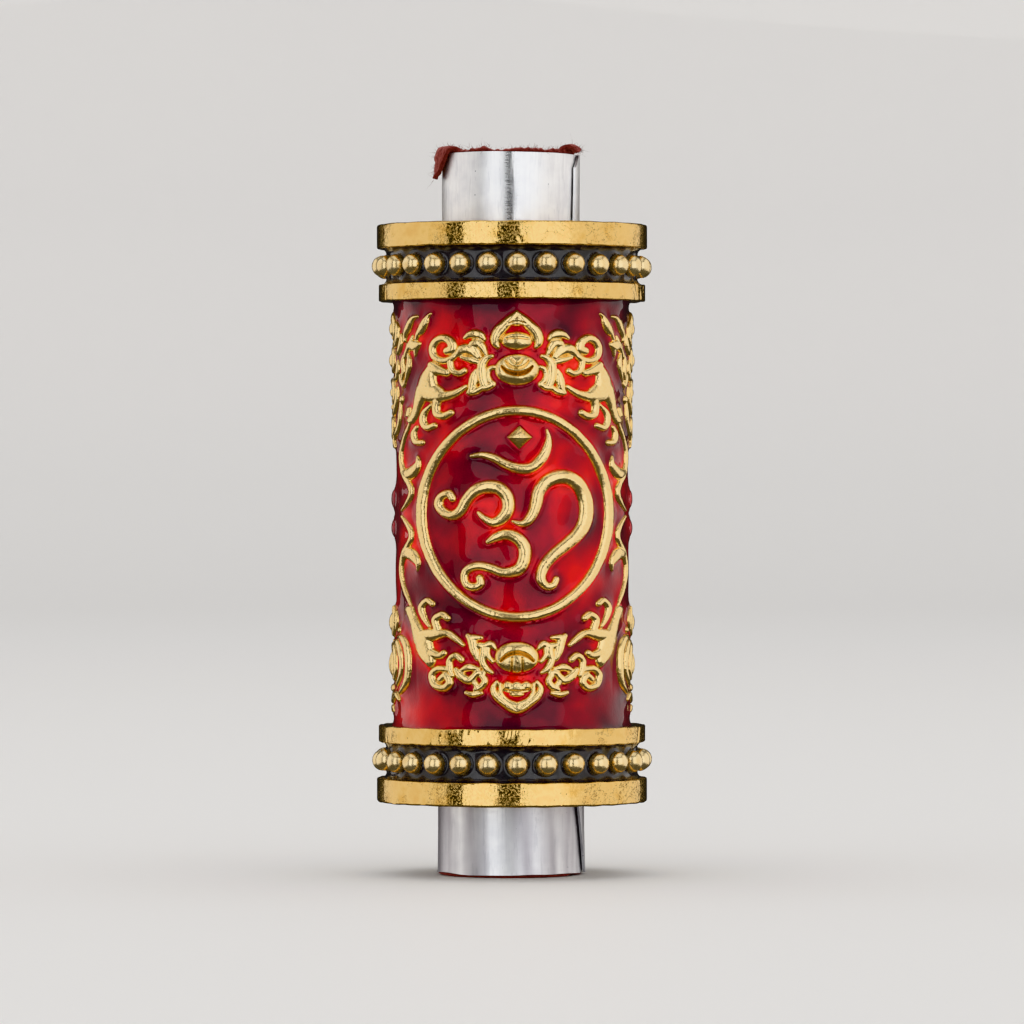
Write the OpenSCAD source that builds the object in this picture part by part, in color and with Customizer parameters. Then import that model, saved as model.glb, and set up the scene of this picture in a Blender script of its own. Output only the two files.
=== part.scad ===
// Prayer wheel: a gold-plated drum with red enamel turns on a rolled aluminium
// sleeve, and a cloth-wrapped mantra roll sits inside the sleeve.
// Millimetres, +Z up along the axis. The origin is the middle of the sleeve's
// foot, and the front medallion faces -Y.

/* [Sleeve] */
// Height of the sleeve, which is the height of the whole object
sleeve_h = 60.3; // [58:0.1:66]
// Outer radius of the sleeve above the drum
sleeve_top_r = 5.85; // [5.6:0.05:5.9]
// Outer radius of the sleeve below the drum
sleeve_foot_r = 6.2; // [6.2:0.05:6.3]
// Outer radius of the sleeve inside the drum, where the collars grip it
sleeve_mid_r = 5.6; // [5.5:0.05:5.6]
// Thickness of the aluminium sheet
sheet_t = 0.2; // [0.15:0.05:0.25]
// How far round the sleeve the overlapping lap of the sheet reaches, in degrees
lap_angle = 48; // [30:1:60]
// Direction of the sheet's free edge, in degrees from +X
lap_start = -26; // [-40:1:0]

/* [Drum] */
// Height of the drum, rims included
drum_h = 48.2; // [47:0.1:50]
// Height of the drum's underside above the sleeve's foot
drum_z = 6.1; // [5.5:0.1:7]
// Radius to the top of the raised ornament
relief_r = 10.35; // [10.25:0.05:10.5]
// Radius of the red enamel's surface
enamel_r = 9.75; // [9.65:0.05:9.85]
// Thickness of the red enamel
enamel_t = 0.35; // [0.25:0.05:0.45]
// Thickness of the brass tube under the enamel
shell_t = 0.6; // [0.5:0.05:0.8]

/* [Rims] */
// Radius of the wide bands at the very top and bottom
outer_band_r = 11.3; // [11.2:0.05:11.4]
// Height of the wide bands
outer_band_h = 2; // [1.8:0.1:2.2]
// Radius of the narrow bands next to the red panel
inner_band_r = 11.15; // [11:0.05:11.2]
// Height of the narrow bands
inner_band_h = 1.4; // [1.2:0.1:1.6]
// Height of the dark channel that holds the beads
channel_h = 3; // [2.8:0.1:3.1]
// Number of beads in each channel
bead_count = 28; // [24:1:28]
// Diameter of a bead
bead_d = 1.84; // [1.6:0.02:1.9]
// Radius of the circle through the beads' middles
bead_ring_r = 10.85; // [10.75:0.05:10.95]
// Radius of the dark enamel's surface
dark_r = 10.5; // [10.4:0.05:10.6]

/* [Medallion] */
// Half the width of the medallion ring, seen from in front
ring_half_w = 8.5; // [8.2:0.1:8.7]
// Half the height of the medallion ring
ring_half_h = 8.95; // [8.5:0.05:9]
// Width of the ring's wire
ring_w = 0.85; // [0.6:0.05:1]

/* [Bearings] */
// Radius of the collars that the drum turns on
journal_r = 6.7; // [6.6:0.05:6.8]
// Gap between a bush and its collar, on the radius
journal_gap = 0.05; // [0.03:0.01:0.08]
// Length of each bush
bush_l = 3.2; // [3:0.1:3.6]
// Thickness of the thrust washers
washer_t = 0.5; // [0.4:0.1:0.6]
// End play between a washer and its bush
end_play = 0.1; // [0.05:0.05:0.15]

/* [Mantra roll] */
// Radius of the wooden rod in the middle of the roll
rod_r = 1.1; // [0.9:0.1:1.3]
// Outer radius of the rolled paper
paper_r = 4.1; // [3.8:0.1:4.2]
// Thickness of the cloth round the paper
cloth_t = 1; // [0.8:0.1:1.1]
// Thickness of the binding thread
thread_d = 0.4; // [0.3:0.05:0.4]

/* [Hidden] */
$fn = 128;

drum_top = drum_z + drum_h;
drum_mid = drum_z + drum_h / 2;
panel_half_h = drum_h / 2 - outer_band_h - channel_h - inner_band_h;
shell_r = enamel_r - enamel_t;
shell_bore_r = shell_r - shell_t;
channel_floor_r = bead_ring_r - bead_d / 2;
bush_bore_r = journal_r + journal_gap;
bush_wall = 0.9;
bush_r = bush_bore_r + bush_wall;
// The upper bush is flush with the drum's top, and the lower one with its underside.
upper_bush_z = drum_top - bush_l;
lower_bush_z = drum_z;
flange_h = 1.6;
flange_w = 0.9;
flange_r = journal_r + flange_w;
// Width of the hub that holds each bush in its cap
hub_w = 1;
lap_t = 0.17;
// The sleeve's visible ends stop just short of the drum, and a short taper leads inside.
end_gap = 0.15;
taper_h = 0.6;
foot_top_z = drum_z - end_gap;
head_foot_z = drum_top + end_gap;
// The journals end where the sleeve's tapers begin.
journal_l = bush_l - taper_h;
bead_seat_gap = 0.02;
cut = 1;

gold = "#c9a24c";
dark_gold = "#a07c34";
red = "#8c1c12";
charcoal = "#22201f";
aluminium = "#b9bcc0";
maroon = "#5a1a1a";

// ---- Curves -------------------------------------------------------------

// A path is a list of [across, up, width]. The ends of a path count twice.
function knot(path, i) = path[max(0, min(len(path) - 1, i))];

// The point at fraction t between knots i and i + 1 of a smooth path
function on_curve(path, i, t) =
    let (a = knot(path, i - 1), b = knot(path, i), c = knot(path, i + 1), d = knot(path, i + 2))
    0.5 * (2 * b
        + t * (c - a)
        + t * t * (2 * a - 5 * b + 4 * c - d)
        + t * t * t * (3 * b - a - 3 * c + d));

function smooth(path, steps = 5) = concat(
    [for (i = [0 : len(path) - 2]) for (k = [0 : steps - 1]) on_curve(path, i, k / steps)],
    [path[len(path) - 1]]
);

// A spiral about a centre, from radius r0 to r1, as a path
function spiral(centre, r0, r1, from, sweep, w0, w1, steps = 10) = [
    for (k = [0 : steps])
    let (t = k / steps, r = r0 + (r1 - r0) * t, a = from + sweep * t)
    [centre.x + r * cos(a), centre.y + r * sin(a), w0 + (w1 - w0) * t]
];

function heading(line, i) =
    let (a = line[max(0, i - 1)], b = line[min(len(line) - 1, i + 1)], d = [b.x - a.x, b.y - a.y])
    d / max(norm(d), 0.001);

// How sharply the line turns at point i, as one over the radius, positive to the left
function bend(line, i) =
    i == 0 || i == len(line) - 1 ? 0 :
    let (a = heading(line, i - 1), b = heading(line, i + 1), p = line[i - 1], q = line[i + 1])
    (a.x * b.y - a.y * b.x) / max(norm([q.x - p.x, q.y - p.y]), 0.001);

// One edge of a stroke. On the inside of a tight bend it stays short of the bend's centre.
function edge(line, side) = [
    for (i = [0 : len(line) - 1])
    let (
        h = heading(line, i),
        tight = bend(line, i) * side,
        half = max(line[i].z, 0.12) / 2,
        reach = tight > 0 ? min(half, 0.7 / tight) : half
    )
    [line[i].x - side * h.y * reach, line[i].y + side * h.x * reach]
];

function reversed(list) = [for (i = [len(list) - 1 : -1 : 0]) list[i]];

module stroke(path) {
    line = smooth(path);
    offset(delta = 0.01)
        polygon(concat(edge(line, 1), reversed(edge(line, -1))));
}

module strokes(paths) {
    for (path = paths) stroke(path);
}

// The points of an oval, for solids that are wider one way than the other
function oval(half_w, half_h, count = 64) =
    [for (k = [0 : count - 1]) [half_w * cos(360 * k / count), half_h * sin(360 * k / count)]];

// ---- Solids that repeat -------------------------------------------------

module ring(outer, inner, height, z = 0) {
    translate([0, 0, z])
        difference() {
            cylinder(r = outer, h = height);
            translate([0, 0, -cut]) cylinder(r = inner, h = height + 2 * cut);
        }
}

// Wraps a flat drawing on the drum: it is pushed out along the direction of
// azimuth, where 0 is the front, and kept only between the enamel and a radius.
module raised(azimuth, top_r = relief_r) {
    rotate([0, 0, azimuth])
        intersection() {
            translate([0, -enamel_r / 2, drum_mid])
                rotate([90, 0, 0])
                    linear_extrude(height = relief_r)
                        children();
            ring(top_r, enamel_r, 2 * panel_half_h, drum_mid - panel_half_h);
        }
}

// ---- Core ---------------------------------------------------------------

// The sleeve's line from foot to head, a given depth inside its outer face
function sleeve_line(depth) = [
    [sleeve_foot_r - depth, 0], [sleeve_foot_r - depth, foot_top_z],
    [sleeve_mid_r - depth, foot_top_z + taper_h], [sleeve_mid_r - depth, head_foot_z - taper_h],
    [sleeve_top_r - depth, head_foot_z], [sleeve_top_r - depth, sleeve_h]
];

module lap(radius, z0, z1) {
    rotate([0, 0, lap_start])
        rotate_extrude(angle = lap_angle)
            translate([radius, z0])
                square([lap_t, z1 - z0]);
}

module core_sleeve() {
    color(aluminium)
        union() {
            rotate_extrude()
                polygon(concat(sleeve_line(0), reversed(sleeve_line(sheet_t))));
            lap(sleeve_top_r, head_foot_z, sleeve_h);
            lap(sleeve_foot_r, 0, foot_top_z);
        }
}

// A collar is a journal inside the bush and a wider flange that stops the drum.
module upper_journal_collar() {
    color(dark_gold)
        union() {
            ring(journal_r, sleeve_mid_r, journal_l + washer_t, upper_bush_z - washer_t);
            ring(flange_r, sleeve_mid_r, flange_h, upper_bush_z - washer_t - flange_h);
        }
}

module lower_journal_collar() {
    color(dark_gold)
        union() {
            ring(journal_r, sleeve_mid_r, journal_l + washer_t + end_play, drum_z + bush_l - journal_l);
            ring(flange_r, sleeve_mid_r, flange_h, lower_bush_z + bush_l + washer_t + end_play);
        }
}

module upper_thrust_washer() {
    color("white")
        ring(flange_r, journal_r, washer_t, upper_bush_z - washer_t);
}

module lower_thrust_washer() {
    color("white")
        ring(flange_r, journal_r, washer_t, lower_bush_z + bush_l + end_play);
}

// ---- Mantra roll --------------------------------------------------------

// The rod is a little shorter than the sleeve, and the paper a little shorter than the rod.
roll_foot_z = 0.5;
roll_head_z = sleeve_h - 0.9;
rod_shows = 0.5;
// The cloth stands just above the floor and just proud of the sleeve's mouth.
cloth_foot_z = 0.2;
cloth_proud = 0.1;
cloth_r = paper_r + cloth_t;
thread_inset = 12;

module scroll_rod() {
    color("#8a6238")
        translate([0, 0, roll_foot_z])
            cylinder(r = rod_r, h = roll_head_z - roll_foot_z);
}

module mantra_scroll() {
    color("#e4d6b4")
        ring(paper_r, rod_r, roll_head_z - roll_foot_z - 2 * rod_shows, roll_foot_z + rod_shows);
}

// The cloth is a tube round the paper, with two grooves for the thread.
module scroll_cloth() {
    color(maroon)
        difference() {
            ring(cloth_r, paper_r, sleeve_h + cloth_proud - cloth_foot_z, cloth_foot_z);
            thread_groove(roll_foot_z + thread_inset);
            thread_groove(roll_head_z - thread_inset);
        }
}

module thread_groove(z) {
    ring(cloth_r + cut, cloth_r - thread_d, thread_d, z);
}

module upper_binding_thread() {
    color("#caa23a")
        ring(cloth_r, cloth_r - thread_d, thread_d, roll_head_z - thread_inset);
}

module lower_binding_thread() {
    color("#caa23a")
        ring(cloth_r, cloth_r - thread_d, thread_d, roll_foot_z + thread_inset);
}

// ---- Drum ---------------------------------------------------------------

module drum_shell() {
    color(dark_gold)
        ring(shell_r, shell_bore_r, drum_h - 2 * outer_band_h, drum_z + outer_band_h);
}

module red_enamel() {
    color(red)
        ring(enamel_r, shell_r, 2 * panel_half_h, drum_mid - panel_half_h);
}

// Half of the cap's section, from the open end of the drum inwards
module cap_section() {
    union() {
        translate([bush_r, 0]) square([outer_band_r - bush_r, outer_band_h]);
        translate([bush_r, 0]) square([hub_w, bush_l]);
        translate([shell_r, 0])
            square([channel_floor_r - shell_r, outer_band_h + channel_h + inner_band_h]);
        translate([shell_r, outer_band_h + channel_h]) square([inner_band_r - shell_r, inner_band_h]);
    }
}

module bottom_cap() {
    color(gold)
        translate([0, 0, drum_z])
            rotate_extrude() cap_section();
}

module top_cap() {
    color(gold)
        translate([0, 0, drum_top])
            mirror([0, 0, 1])
                rotate_extrude() cap_section();
}

module upper_bush() {
    color("#b08040")
        ring(bush_r, bush_bore_r, bush_l, upper_bush_z);
}

module lower_bush() {
    color("#b08040")
        ring(bush_r, bush_bore_r, bush_l, lower_bush_z);
}

module bead_row(z, diameter) {
    for (k = [0 : bead_count - 1])
        rotate([0, 0, 360 * k / bead_count])
            translate([0, -bead_ring_r, z])
                sphere(d = diameter, $fn = 24);
}

top_bead_z = drum_top - outer_band_h - channel_h / 2;
bottom_bead_z = drum_z + outer_band_h + channel_h / 2;

module channel_enamel(z) {
    color(charcoal)
        difference() {
            ring(dark_r, channel_floor_r, channel_h, z - channel_h / 2);
            bead_row(z, bead_d + 2 * bead_seat_gap);
        }
}

module top_channel_enamel() {
    channel_enamel(top_bead_z);
}

module bottom_channel_enamel() {
    channel_enamel(bottom_bead_z);
}

module top_beads() {
    color(gold) bead_row(top_bead_z, bead_d);
}

module bottom_beads() {
    color(gold) bead_row(bottom_bead_z, bead_d);
}

// ---- Medallion ----------------------------------------------------------

module medallion_ring(azimuth) {
    color(gold)
        raised(azimuth)
            difference() {
                polygon(oval(ring_half_w, ring_half_h));
                polygon(oval(ring_half_w - ring_w, ring_half_h - ring_w));
            }
}

OM_UPPER_BOW = [
    [-5.6, 1.2, 0.6], [-6.5, 1.4, 0.6], [-6.4, 0.2, 0.7], [-5.4, -0.1, 0.7], [-4.4, 1, 0.8],
    [-2.8, 2.2, 0.9], [-1.2, 1.7, 1], [-0.9, 0.2, 1], [-2, -0.7, 0.7], [-3.3, 0.1, 0.2]
];
OM_LOWER_BOW = [
    [-2.5, -2.3, 0.3], [-1, -1.7, 0.8], [0.5, -2.5, 1], [0.4, -4.3, 1], [-1.2, -4.8, 0.7],
    [-3, -4.3, 0.6], [-4.4, -4.7, 0.6], [-4.2, -5.8, 0.6], [-3.1, -5.5, 0.6]
];
OM_LOOP = [
    [-0.4, -0.6, 0.2], [0.9, -0.7, 0.7], [1.7, 0.8, 1], [2.6, 2.6, 1], [4.2, 3, 1],
    [5.7, 1.8, 1.1], [6, 0, 1.1], [4.8, -2.1, 0.9], [2.8, -3.8, 0.9], [2.1, -5.3, 0.8], [3.3, -5.7, 0.5]
];
OM_CRESCENT = [
    [-3.9, 4.7, 0.2], [-2, 4.6, 0.5], [0.1, 3.7, 0.7],
    [1.9, 4.2, 0.8], [2.7, 5.6, 0.6], [2.6, 6.8, 0.15]
];

module om_syllable(azimuth) {
    color(gold)
        raised(azimuth) {
            stroke(OM_UPPER_BOW);
            stroke(OM_LOWER_BOW);
            stroke(OM_LOOP);
        }
}

module om_crescent(azimuth) {
    color(gold)
        raised(azimuth) stroke(OM_CRESCENT);
}

jewel_x = 0.2;
jewel_half_w = 1.1;
jewel_half_h = 0.9;
jewel_z = 6.3;

module om_jewel(azimuth) {
    color(gold)
        raised(azimuth)
            translate([jewel_x, jewel_z])
                polygon(oval(jewel_half_w, jewel_half_h, 4));
}

module front_medallion_ring() { medallion_ring(0); }
module back_medallion_ring() { medallion_ring(180); }
module front_om_syllable() { om_syllable(0); }
module back_om_syllable() { om_syllable(180); }
module front_om_crescent() { om_crescent(0); }
module back_om_crescent() { om_crescent(180); }
module front_om_jewel() { om_jewel(0); }
module back_om_jewel() { om_jewel(180); }

// ---- Crests above and below the medallion -------------------------------

CREST_LEAVES = [
    [[-4.6, 14.8, 0.2], [-3.8, 15.1, 0.4], [-2.9, 14.8, 0.2]],
    [[-4, 14.1, 0.2], [-3.4, 14.2, 0.5], [-2.9, 13.6, 0.3]],
    [[-5, 13.4, 0.2], [-4.4, 13.6, 0.4], [-3.4, 13, 0.2]],
    [[-2, 13.3, 0.2], [-2.9, 12.4, 0.6], [-3, 11.2, 0.8], [-3.1, 10.3, 0.4]],
    [[-3.7, 12, 0.2], [-3.9, 11.2, 0.5], [-4.1, 10.2, 0.3]],
    [[-1.9, 12.3, 0.2], [-2.3, 11.7, 0.3], [-1.8, 11, 0.2]]
];
SPADE_FLANK = [[0, 17, 0.3], [-1.3, 15.8, 0.4], [-2.3, 14.7, 0.5], [-1.7, 13.9, 0.4]];

module crest_half() {
    strokes(CREST_LEAVES);
    stroke(SPADE_FLANK);
}

bud_z = 12.1;
bud_r = 1.2;
tongue_half_w = 1.2;
tongue_z = 14;
tongue_h = 1.1;

module crest() {
    crest_half();
    mirror([1, 0]) crest_half();
    translate([0, bud_z]) circle(r = bud_r, $fn = 32);
    translate([-tongue_half_w, tongue_z]) square([2 * tongue_half_w, tongue_h]);
}

module upper_crest(azimuth) {
    color(gold) raised(azimuth) crest();
}

module lower_crest(azimuth) {
    color(gold) raised(azimuth) mirror([0, 1]) crest();
}

module front_upper_crest() { upper_crest(0); }
module front_lower_crest() { lower_crest(0); }
module back_upper_crest() { upper_crest(180); }
module back_lower_crest() { lower_crest(180); }

// ---- Scrollwork in the four corners of each face ------------------------

scroll_azimuth = 44;
SCROLL_CURL = spiral([1.3, 13.8], 0.3, 0.9, 60, 380, 0.3, 0.4);
SCROLL_BRANCHES = [
    [[0, 12.7, 0.4], [-0.6, 12.2, 0.9], [-0.7, 11, 1.7],
     [-1.4, 10, 1.2], [-2.2, 8.9, 0.5], [-2.8, 8, 0.3]],
    [[-0.6, 10.7, 1.6], [0.6, 10.5, 1.2], [1.9, 10.5, 0.6], [3, 10.9, 0.2]],
    [[0.2, 10.4, 0.5], [0.3, 9.2, 0.5], [0.9, 8.5, 0.5], [1.9, 8.7, 0.4]],
    [[-0.8, 9.2, 0.2], [-1.2, 8.2, 0.3], [-0.8, 7.5, 0.3], [-0.2, 7.7, 0.3]],
    [[-2.1, 7.5, 0.2], [-2.4, 6.6, 0.3], [-2, 6, 0.3], [-1.4, 6.2, 0.2]],
    [[1.9, 12.8, 0.3], [2, 12.1, 0.35], [2.5, 11.8, 0.35], [3, 12.1, 0.3]]
];

module corner_scrollwork() {
    stroke(SCROLL_CURL);
    strokes(SCROLL_BRANCHES);
}

// side is -1 for the left of a face and 1 for the right, tier 1 for upper and -1 for lower
module scrollwork(face, side, tier) {
    color(gold)
        raised(face + side * scroll_azimuth)
            scale_signs(-side, tier) corner_scrollwork();
}

module scale_signs(across, up) {
    if (across < 0 && up < 0) rotate(180) children();
    else if (across < 0) mirror([1, 0]) children();
    else if (up < 0) mirror([0, 1]) children();
    else children();
}

module front_left_upper_scrollwork() { scrollwork(0, -1, 1); }
module front_right_upper_scrollwork() { scrollwork(0, 1, 1); }
module front_left_lower_scrollwork() { scrollwork(0, -1, -1); }
module front_right_lower_scrollwork() { scrollwork(0, 1, -1); }
module back_left_upper_scrollwork() { scrollwork(180, -1, 1); }
module back_right_upper_scrollwork() { scrollwork(180, 1, 1); }
module back_left_lower_scrollwork() { scrollwork(180, -1, -1); }
module back_right_lower_scrollwork() { scrollwork(180, 1, -1); }

// ---- Brackets beside the medallion --------------------------------------

bracket_azimuth = 63;
BRACKET_HALF = [
    [[0.3, 7.3, 0.3], [-1.1, 6, 0.35], [-1.3, 4.6, 0.35], [-0.9, 3.5, 0.35], [-0.3, 2.6, 0.4],
        [0.1, 1.6, 0.4], [-0.4, 0.9, 0.4], [-1.3, 0.2, 0.5]],
    [[0.8, 4.6, 0.2], [1.4, 3.9, 0.5], [0.8, 3, 0.6], [-0.2, 2.6, 0.5]]
];

module bracket(face, side) {
    color(gold)
        raised(face + side * bracket_azimuth)
            for (tier = [1, -1])
                scale_signs(-side, tier) strokes(BRACKET_HALF);
}

module front_left_bracket() { bracket(0, -1); }
module front_right_bracket() { bracket(0, 1); }
module back_left_bracket() { bracket(180, -1); }
module back_right_bracket() { bracket(180, 1); }

// ---- Ornament on the two sides ------------------------------------------

SPRAY_HALF = [
    [[7.1, 16.7, 0.2], [6.8, 16.2, 0.5], [6.8, 15.6, 0.5], [6.1, 15.1, 0.3]],
    [[5.7, 16.6, 0.2], [5, 16.3, 0.5], [4.4, 15.9, 0.4], [3.8, 14.9, 0.4]],
    [[6.1, 14.3, 0.3], [5.6, 13.8, 0.6], [4.9, 13.9, 0.6], [4.6, 12.9, 0.5], [4.1, 11.6, 0.4],
        [3, 8.6, 0.4], [1.8, 6.4, 0.3]],
    [[0, 16.6, 0.5], [1.2, 15.6, 0.5], [2.3, 14.2, 0.5], [3.1, 12.7, 0.4]],
    [[0.9, 13.4, 0.3], [1.6, 11.9, 0.5], [1.3, 10.2, 0.5], [0.5, 9, 0.3]]
];
spray_bead_r = 0.45;
spray_bead_at = [2.4, 9.9];

module spray_half() {
    strokes(SPRAY_HALF);
    translate(spray_bead_at) circle(r = spray_bead_r, $fn = 24);
}

module spray(azimuth) {
    color(gold)
        raised(azimuth) {
            spray_half();
            mirror([1, 0]) spray_half();
        }
}

LOTUS_PETAL = [
    [1.9, -11, 0.3], [3.2, -10.7, 0.5], [4.5, -11.4, 0.7],
    [4.7, -12.8, 0.7], [4.3, -14, 0.6], [3.1, -14.9, 0.3]
];
LOTUS_STEM = [[0.9, -8.4, 0.4], [1.1, -9.4, 0.4], [0.9, -10.4, 0.4]];
lotus_boss_half_w = 1.7;
lotus_boss_half_h = 0.9;
lotus_boss_z = -13;
lotus_bead_r = 0.5;
lotus_bead_at = [1.4, -15.4];

module lotus_half() {
    stroke(LOTUS_PETAL);
    stroke(LOTUS_STEM);
    translate(lotus_bead_at) circle(r = lotus_bead_r, $fn = 24);
}

module lotus(azimuth) {
    color(gold)
        raised(azimuth) {
            lotus_half();
            mirror([1, 0]) lotus_half();
            translate([0, lotus_boss_z]) polygon(oval(lotus_boss_half_w, lotus_boss_half_h, 32));
        }
}

side_jewel_half_w = 0.9;
side_jewel_half_h = 0.8;
side_jewel_step = 1.2;
side_jewel_r = 10;

module side_jewels(azimuth) {
    color(red)
        raised(azimuth, side_jewel_r)
            for (tier = [1, -1])
                translate([0, tier * side_jewel_step])
                    polygon(oval(side_jewel_half_w, side_jewel_half_h, 32));
}

module left_spray() { spray(-90); }
module right_spray() { spray(90); }
module left_lotus() { lotus(-90); }
module right_lotus() { lotus(90); }
module left_side_jewels() { side_jewels(-90); }
module right_side_jewels() { side_jewels(90); }

// ---- The assembly -------------------------------------------------------

core_sleeve();
upper_journal_collar();
lower_journal_collar();
upper_thrust_washer();
lower_thrust_washer();
scroll_rod();
mantra_scroll();
scroll_cloth();
upper_binding_thread();
lower_binding_thread();
drum_shell();
red_enamel();
top_cap();
bottom_cap();
upper_bush();
lower_bush();
top_channel_enamel();
bottom_channel_enamel();
top_beads();
bottom_beads();
front_medallion_ring();
back_medallion_ring();
front_om_syllable();
back_om_syllable();
front_om_crescent();
back_om_crescent();
front_om_jewel();
back_om_jewel();
front_upper_crest();
front_lower_crest();
back_upper_crest();
back_lower_crest();
front_left_upper_scrollwork();
front_right_upper_scrollwork();
front_left_lower_scrollwork();
front_right_lower_scrollwork();
back_left_upper_scrollwork();
back_right_upper_scrollwork();
back_left_lower_scrollwork();
back_right_lower_scrollwork();
front_left_bracket();
front_right_bracket();
back_left_bracket();
back_right_bracket();
left_spray();
right_spray();
left_lotus();
right_lotus();
left_side_jewels();
right_side_jewels();
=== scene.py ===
"""Looks of the prayer wheel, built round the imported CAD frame.

Shapes are worked out in millimetres and turned into metres when a mesh is made.
The drum's face is treated as a plane: across runs to the right and up from the
panel's middle. Relief is a height above the enamel in that plane.
"""
import math

import bmesh
import bpy
import numpy as np
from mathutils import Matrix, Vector


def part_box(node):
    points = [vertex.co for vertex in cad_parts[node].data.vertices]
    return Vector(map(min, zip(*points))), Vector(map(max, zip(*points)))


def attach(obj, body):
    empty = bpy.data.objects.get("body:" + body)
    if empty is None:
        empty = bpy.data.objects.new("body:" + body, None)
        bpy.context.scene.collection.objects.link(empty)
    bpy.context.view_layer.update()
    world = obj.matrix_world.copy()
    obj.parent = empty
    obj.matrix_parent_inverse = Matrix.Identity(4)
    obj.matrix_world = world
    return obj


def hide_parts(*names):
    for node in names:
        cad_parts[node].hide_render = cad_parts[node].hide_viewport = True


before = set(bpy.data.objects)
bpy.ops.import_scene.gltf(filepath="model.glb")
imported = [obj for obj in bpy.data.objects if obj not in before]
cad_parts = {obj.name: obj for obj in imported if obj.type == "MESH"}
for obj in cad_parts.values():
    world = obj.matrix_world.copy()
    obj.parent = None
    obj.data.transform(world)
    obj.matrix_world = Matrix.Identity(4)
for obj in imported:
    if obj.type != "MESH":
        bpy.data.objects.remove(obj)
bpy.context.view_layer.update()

MM = 0.001


def low(node):
    """Lowest corner of a CAD node in millimetres."""
    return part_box(node)[0] / MM


def high(node):
    """Highest corner of a CAD node in millimetres."""
    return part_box(node)[1] / MM


# ---- Sizes, all from the frame ------------------------------------------

ENAMEL_R = high("red_enamel").x
SHELL_R = high("drum_shell").x
PANEL_LOW = low("red_enamel").z
PANEL_HIGH = high("red_enamel").z
PANEL_MID = (PANEL_LOW + PANEL_HIGH) / 2
PANEL_HALF = (PANEL_HIGH - PANEL_LOW) / 2
RELIEF_R = -low("front_medallion_ring").y
RELIEF_H = RELIEF_R - ENAMEL_R
SLEEVE_TOP = high("core_sleeve").z
DRUM_LOW = low("bottom_cap").z
DRUM_HIGH = high("top_cap").z
RING_HALF_W = high("front_medallion_ring").x
RING_HALF_H = high("front_medallion_ring").z - PANEL_MID

COLUMNS = 1080
TURN = 2 * math.pi
STEP_ANGLE = TURN / COLUMNS
STEP_UP = 0.06
ROWS = int(round(2 * PANEL_HALF / STEP_UP)) + 1
UP = np.linspace(-PANEL_HALF, PANEL_HALF, ROWS)

# Distance from each point of the panel to the nearest raised ornament in mm, filled in as
# the ornaments are made. It starts far away, and is negative inside an ornament.
FAR = 9.0
shore = np.full((ROWS, COLUMNS), FAR)


# ---- Mesh helpers -------------------------------------------------------

def mesh_object(name, vertices, faces, attributes=None):
    """An object from vertices in mm and faces, each with the same number of corners."""
    vertices = np.asarray(vertices, dtype=np.float32) * MM
    faces = np.asarray(faces, dtype=np.int32)
    count, corners = faces.shape
    mesh = bpy.data.meshes.new(name)
    mesh.vertices.add(len(vertices))
    mesh.vertices.foreach_set("co", vertices.ravel())
    mesh.loops.add(count * corners)
    mesh.loops.foreach_set("vertex_index", faces.ravel())
    mesh.polygons.add(count)
    mesh.polygons.foreach_set("loop_start", np.arange(0, count * corners, corners, dtype=np.int32))
    mesh.polygons.foreach_set("use_smooth", np.ones(count, dtype=bool))
    for key, values in (attributes or {}).items():
        layer = mesh.attributes.new(key, "FLOAT", "POINT")
        layer.data.foreach_set("value", np.asarray(values, dtype=np.float32))
    mesh.update(calc_edges=True)
    mesh.validate()
    obj = bpy.data.objects.new(name, mesh)
    bpy.context.scene.collection.objects.link(obj)
    return obj


def finish_piece(obj, body, material, slot, *nodes):
    """Gives a piece its material, ties it to its body and hides the CAD nodes it stands for. The slot
    argument is not used.
    """
    obj.data.materials.append(material)
    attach(obj, body)
    if nodes:
        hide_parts(*nodes)
    return obj


def sharpen(obj, degrees):
    """Keeps edges steeper than an angle crisp while the rest is shaded smooth."""
    obj.data.set_sharp_from_angle(angle=math.radians(degrees))


def ripple(x, y, size, seed):
    """Smooth uneven waves that mostly stay between -1 and 1, with humps about size mm apart."""
    rng = np.random.default_rng(seed)
    total = np.zeros(np.broadcast(x, y).shape)
    waves = 9
    for _ in range(waves):
        turn = rng.uniform(0, TURN)
        pitch = rng.uniform(0.7, 1.6) * TURN / (2 * size)
        phase = rng.uniform(0, TURN)
        total += np.sin((x * math.cos(turn) + y * math.sin(turn)) * pitch + phase)
    return total / math.sqrt(waves * 2)


def wrapped_ripple(angle, height, radius, size, seed):
    """The same waves on a cylinder, with no join where it closes."""
    x, y = radius * np.cos(angle), radius * np.sin(angle)
    return ripple(x + 0.61 * height, y - 0.47 * height, size, seed)


def full_turn(columns):
    """Angles of evenly spaced columns round the axis."""
    return np.arange(columns) * TURN / columns


def level_rows(values, columns):
    """A grid whose rows each hold one of the values."""
    return np.repeat(values[:, None], columns, 1)


def grid_faces(rows, columns, closed):
    """Quads of a grid of points, joined round the columns if closed."""
    spans = columns if closed else columns - 1
    row = np.arange(rows - 1)[:, None]
    column = np.arange(spans)[None, :]
    beside = (column + 1) % columns
    a = row * columns + column
    b = row * columns + beside
    return np.stack([a, b, b + columns, a + columns], -1).reshape(-1, 4)


def lathe(name, radii, heights, angles, attributes=None):
    """A closed ring-shaped solid: radii and heights are grids of section point by angle."""
    points, columns = radii.shape
    x = radii * np.sin(angles)[None, :]
    y = -radii * np.cos(angles)[None, :]
    vertices = np.stack([x, y, heights], -1).reshape(-1, 3)
    faces = grid_faces(points, columns, True)
    last = (points - 1) * columns
    column = np.arange(columns)
    beside = (column + 1) % columns
    join = np.stack([last + column, last + beside, beside, column], -1)
    return mesh_object(name, vertices, np.concatenate([faces, join]), attributes)


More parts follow.
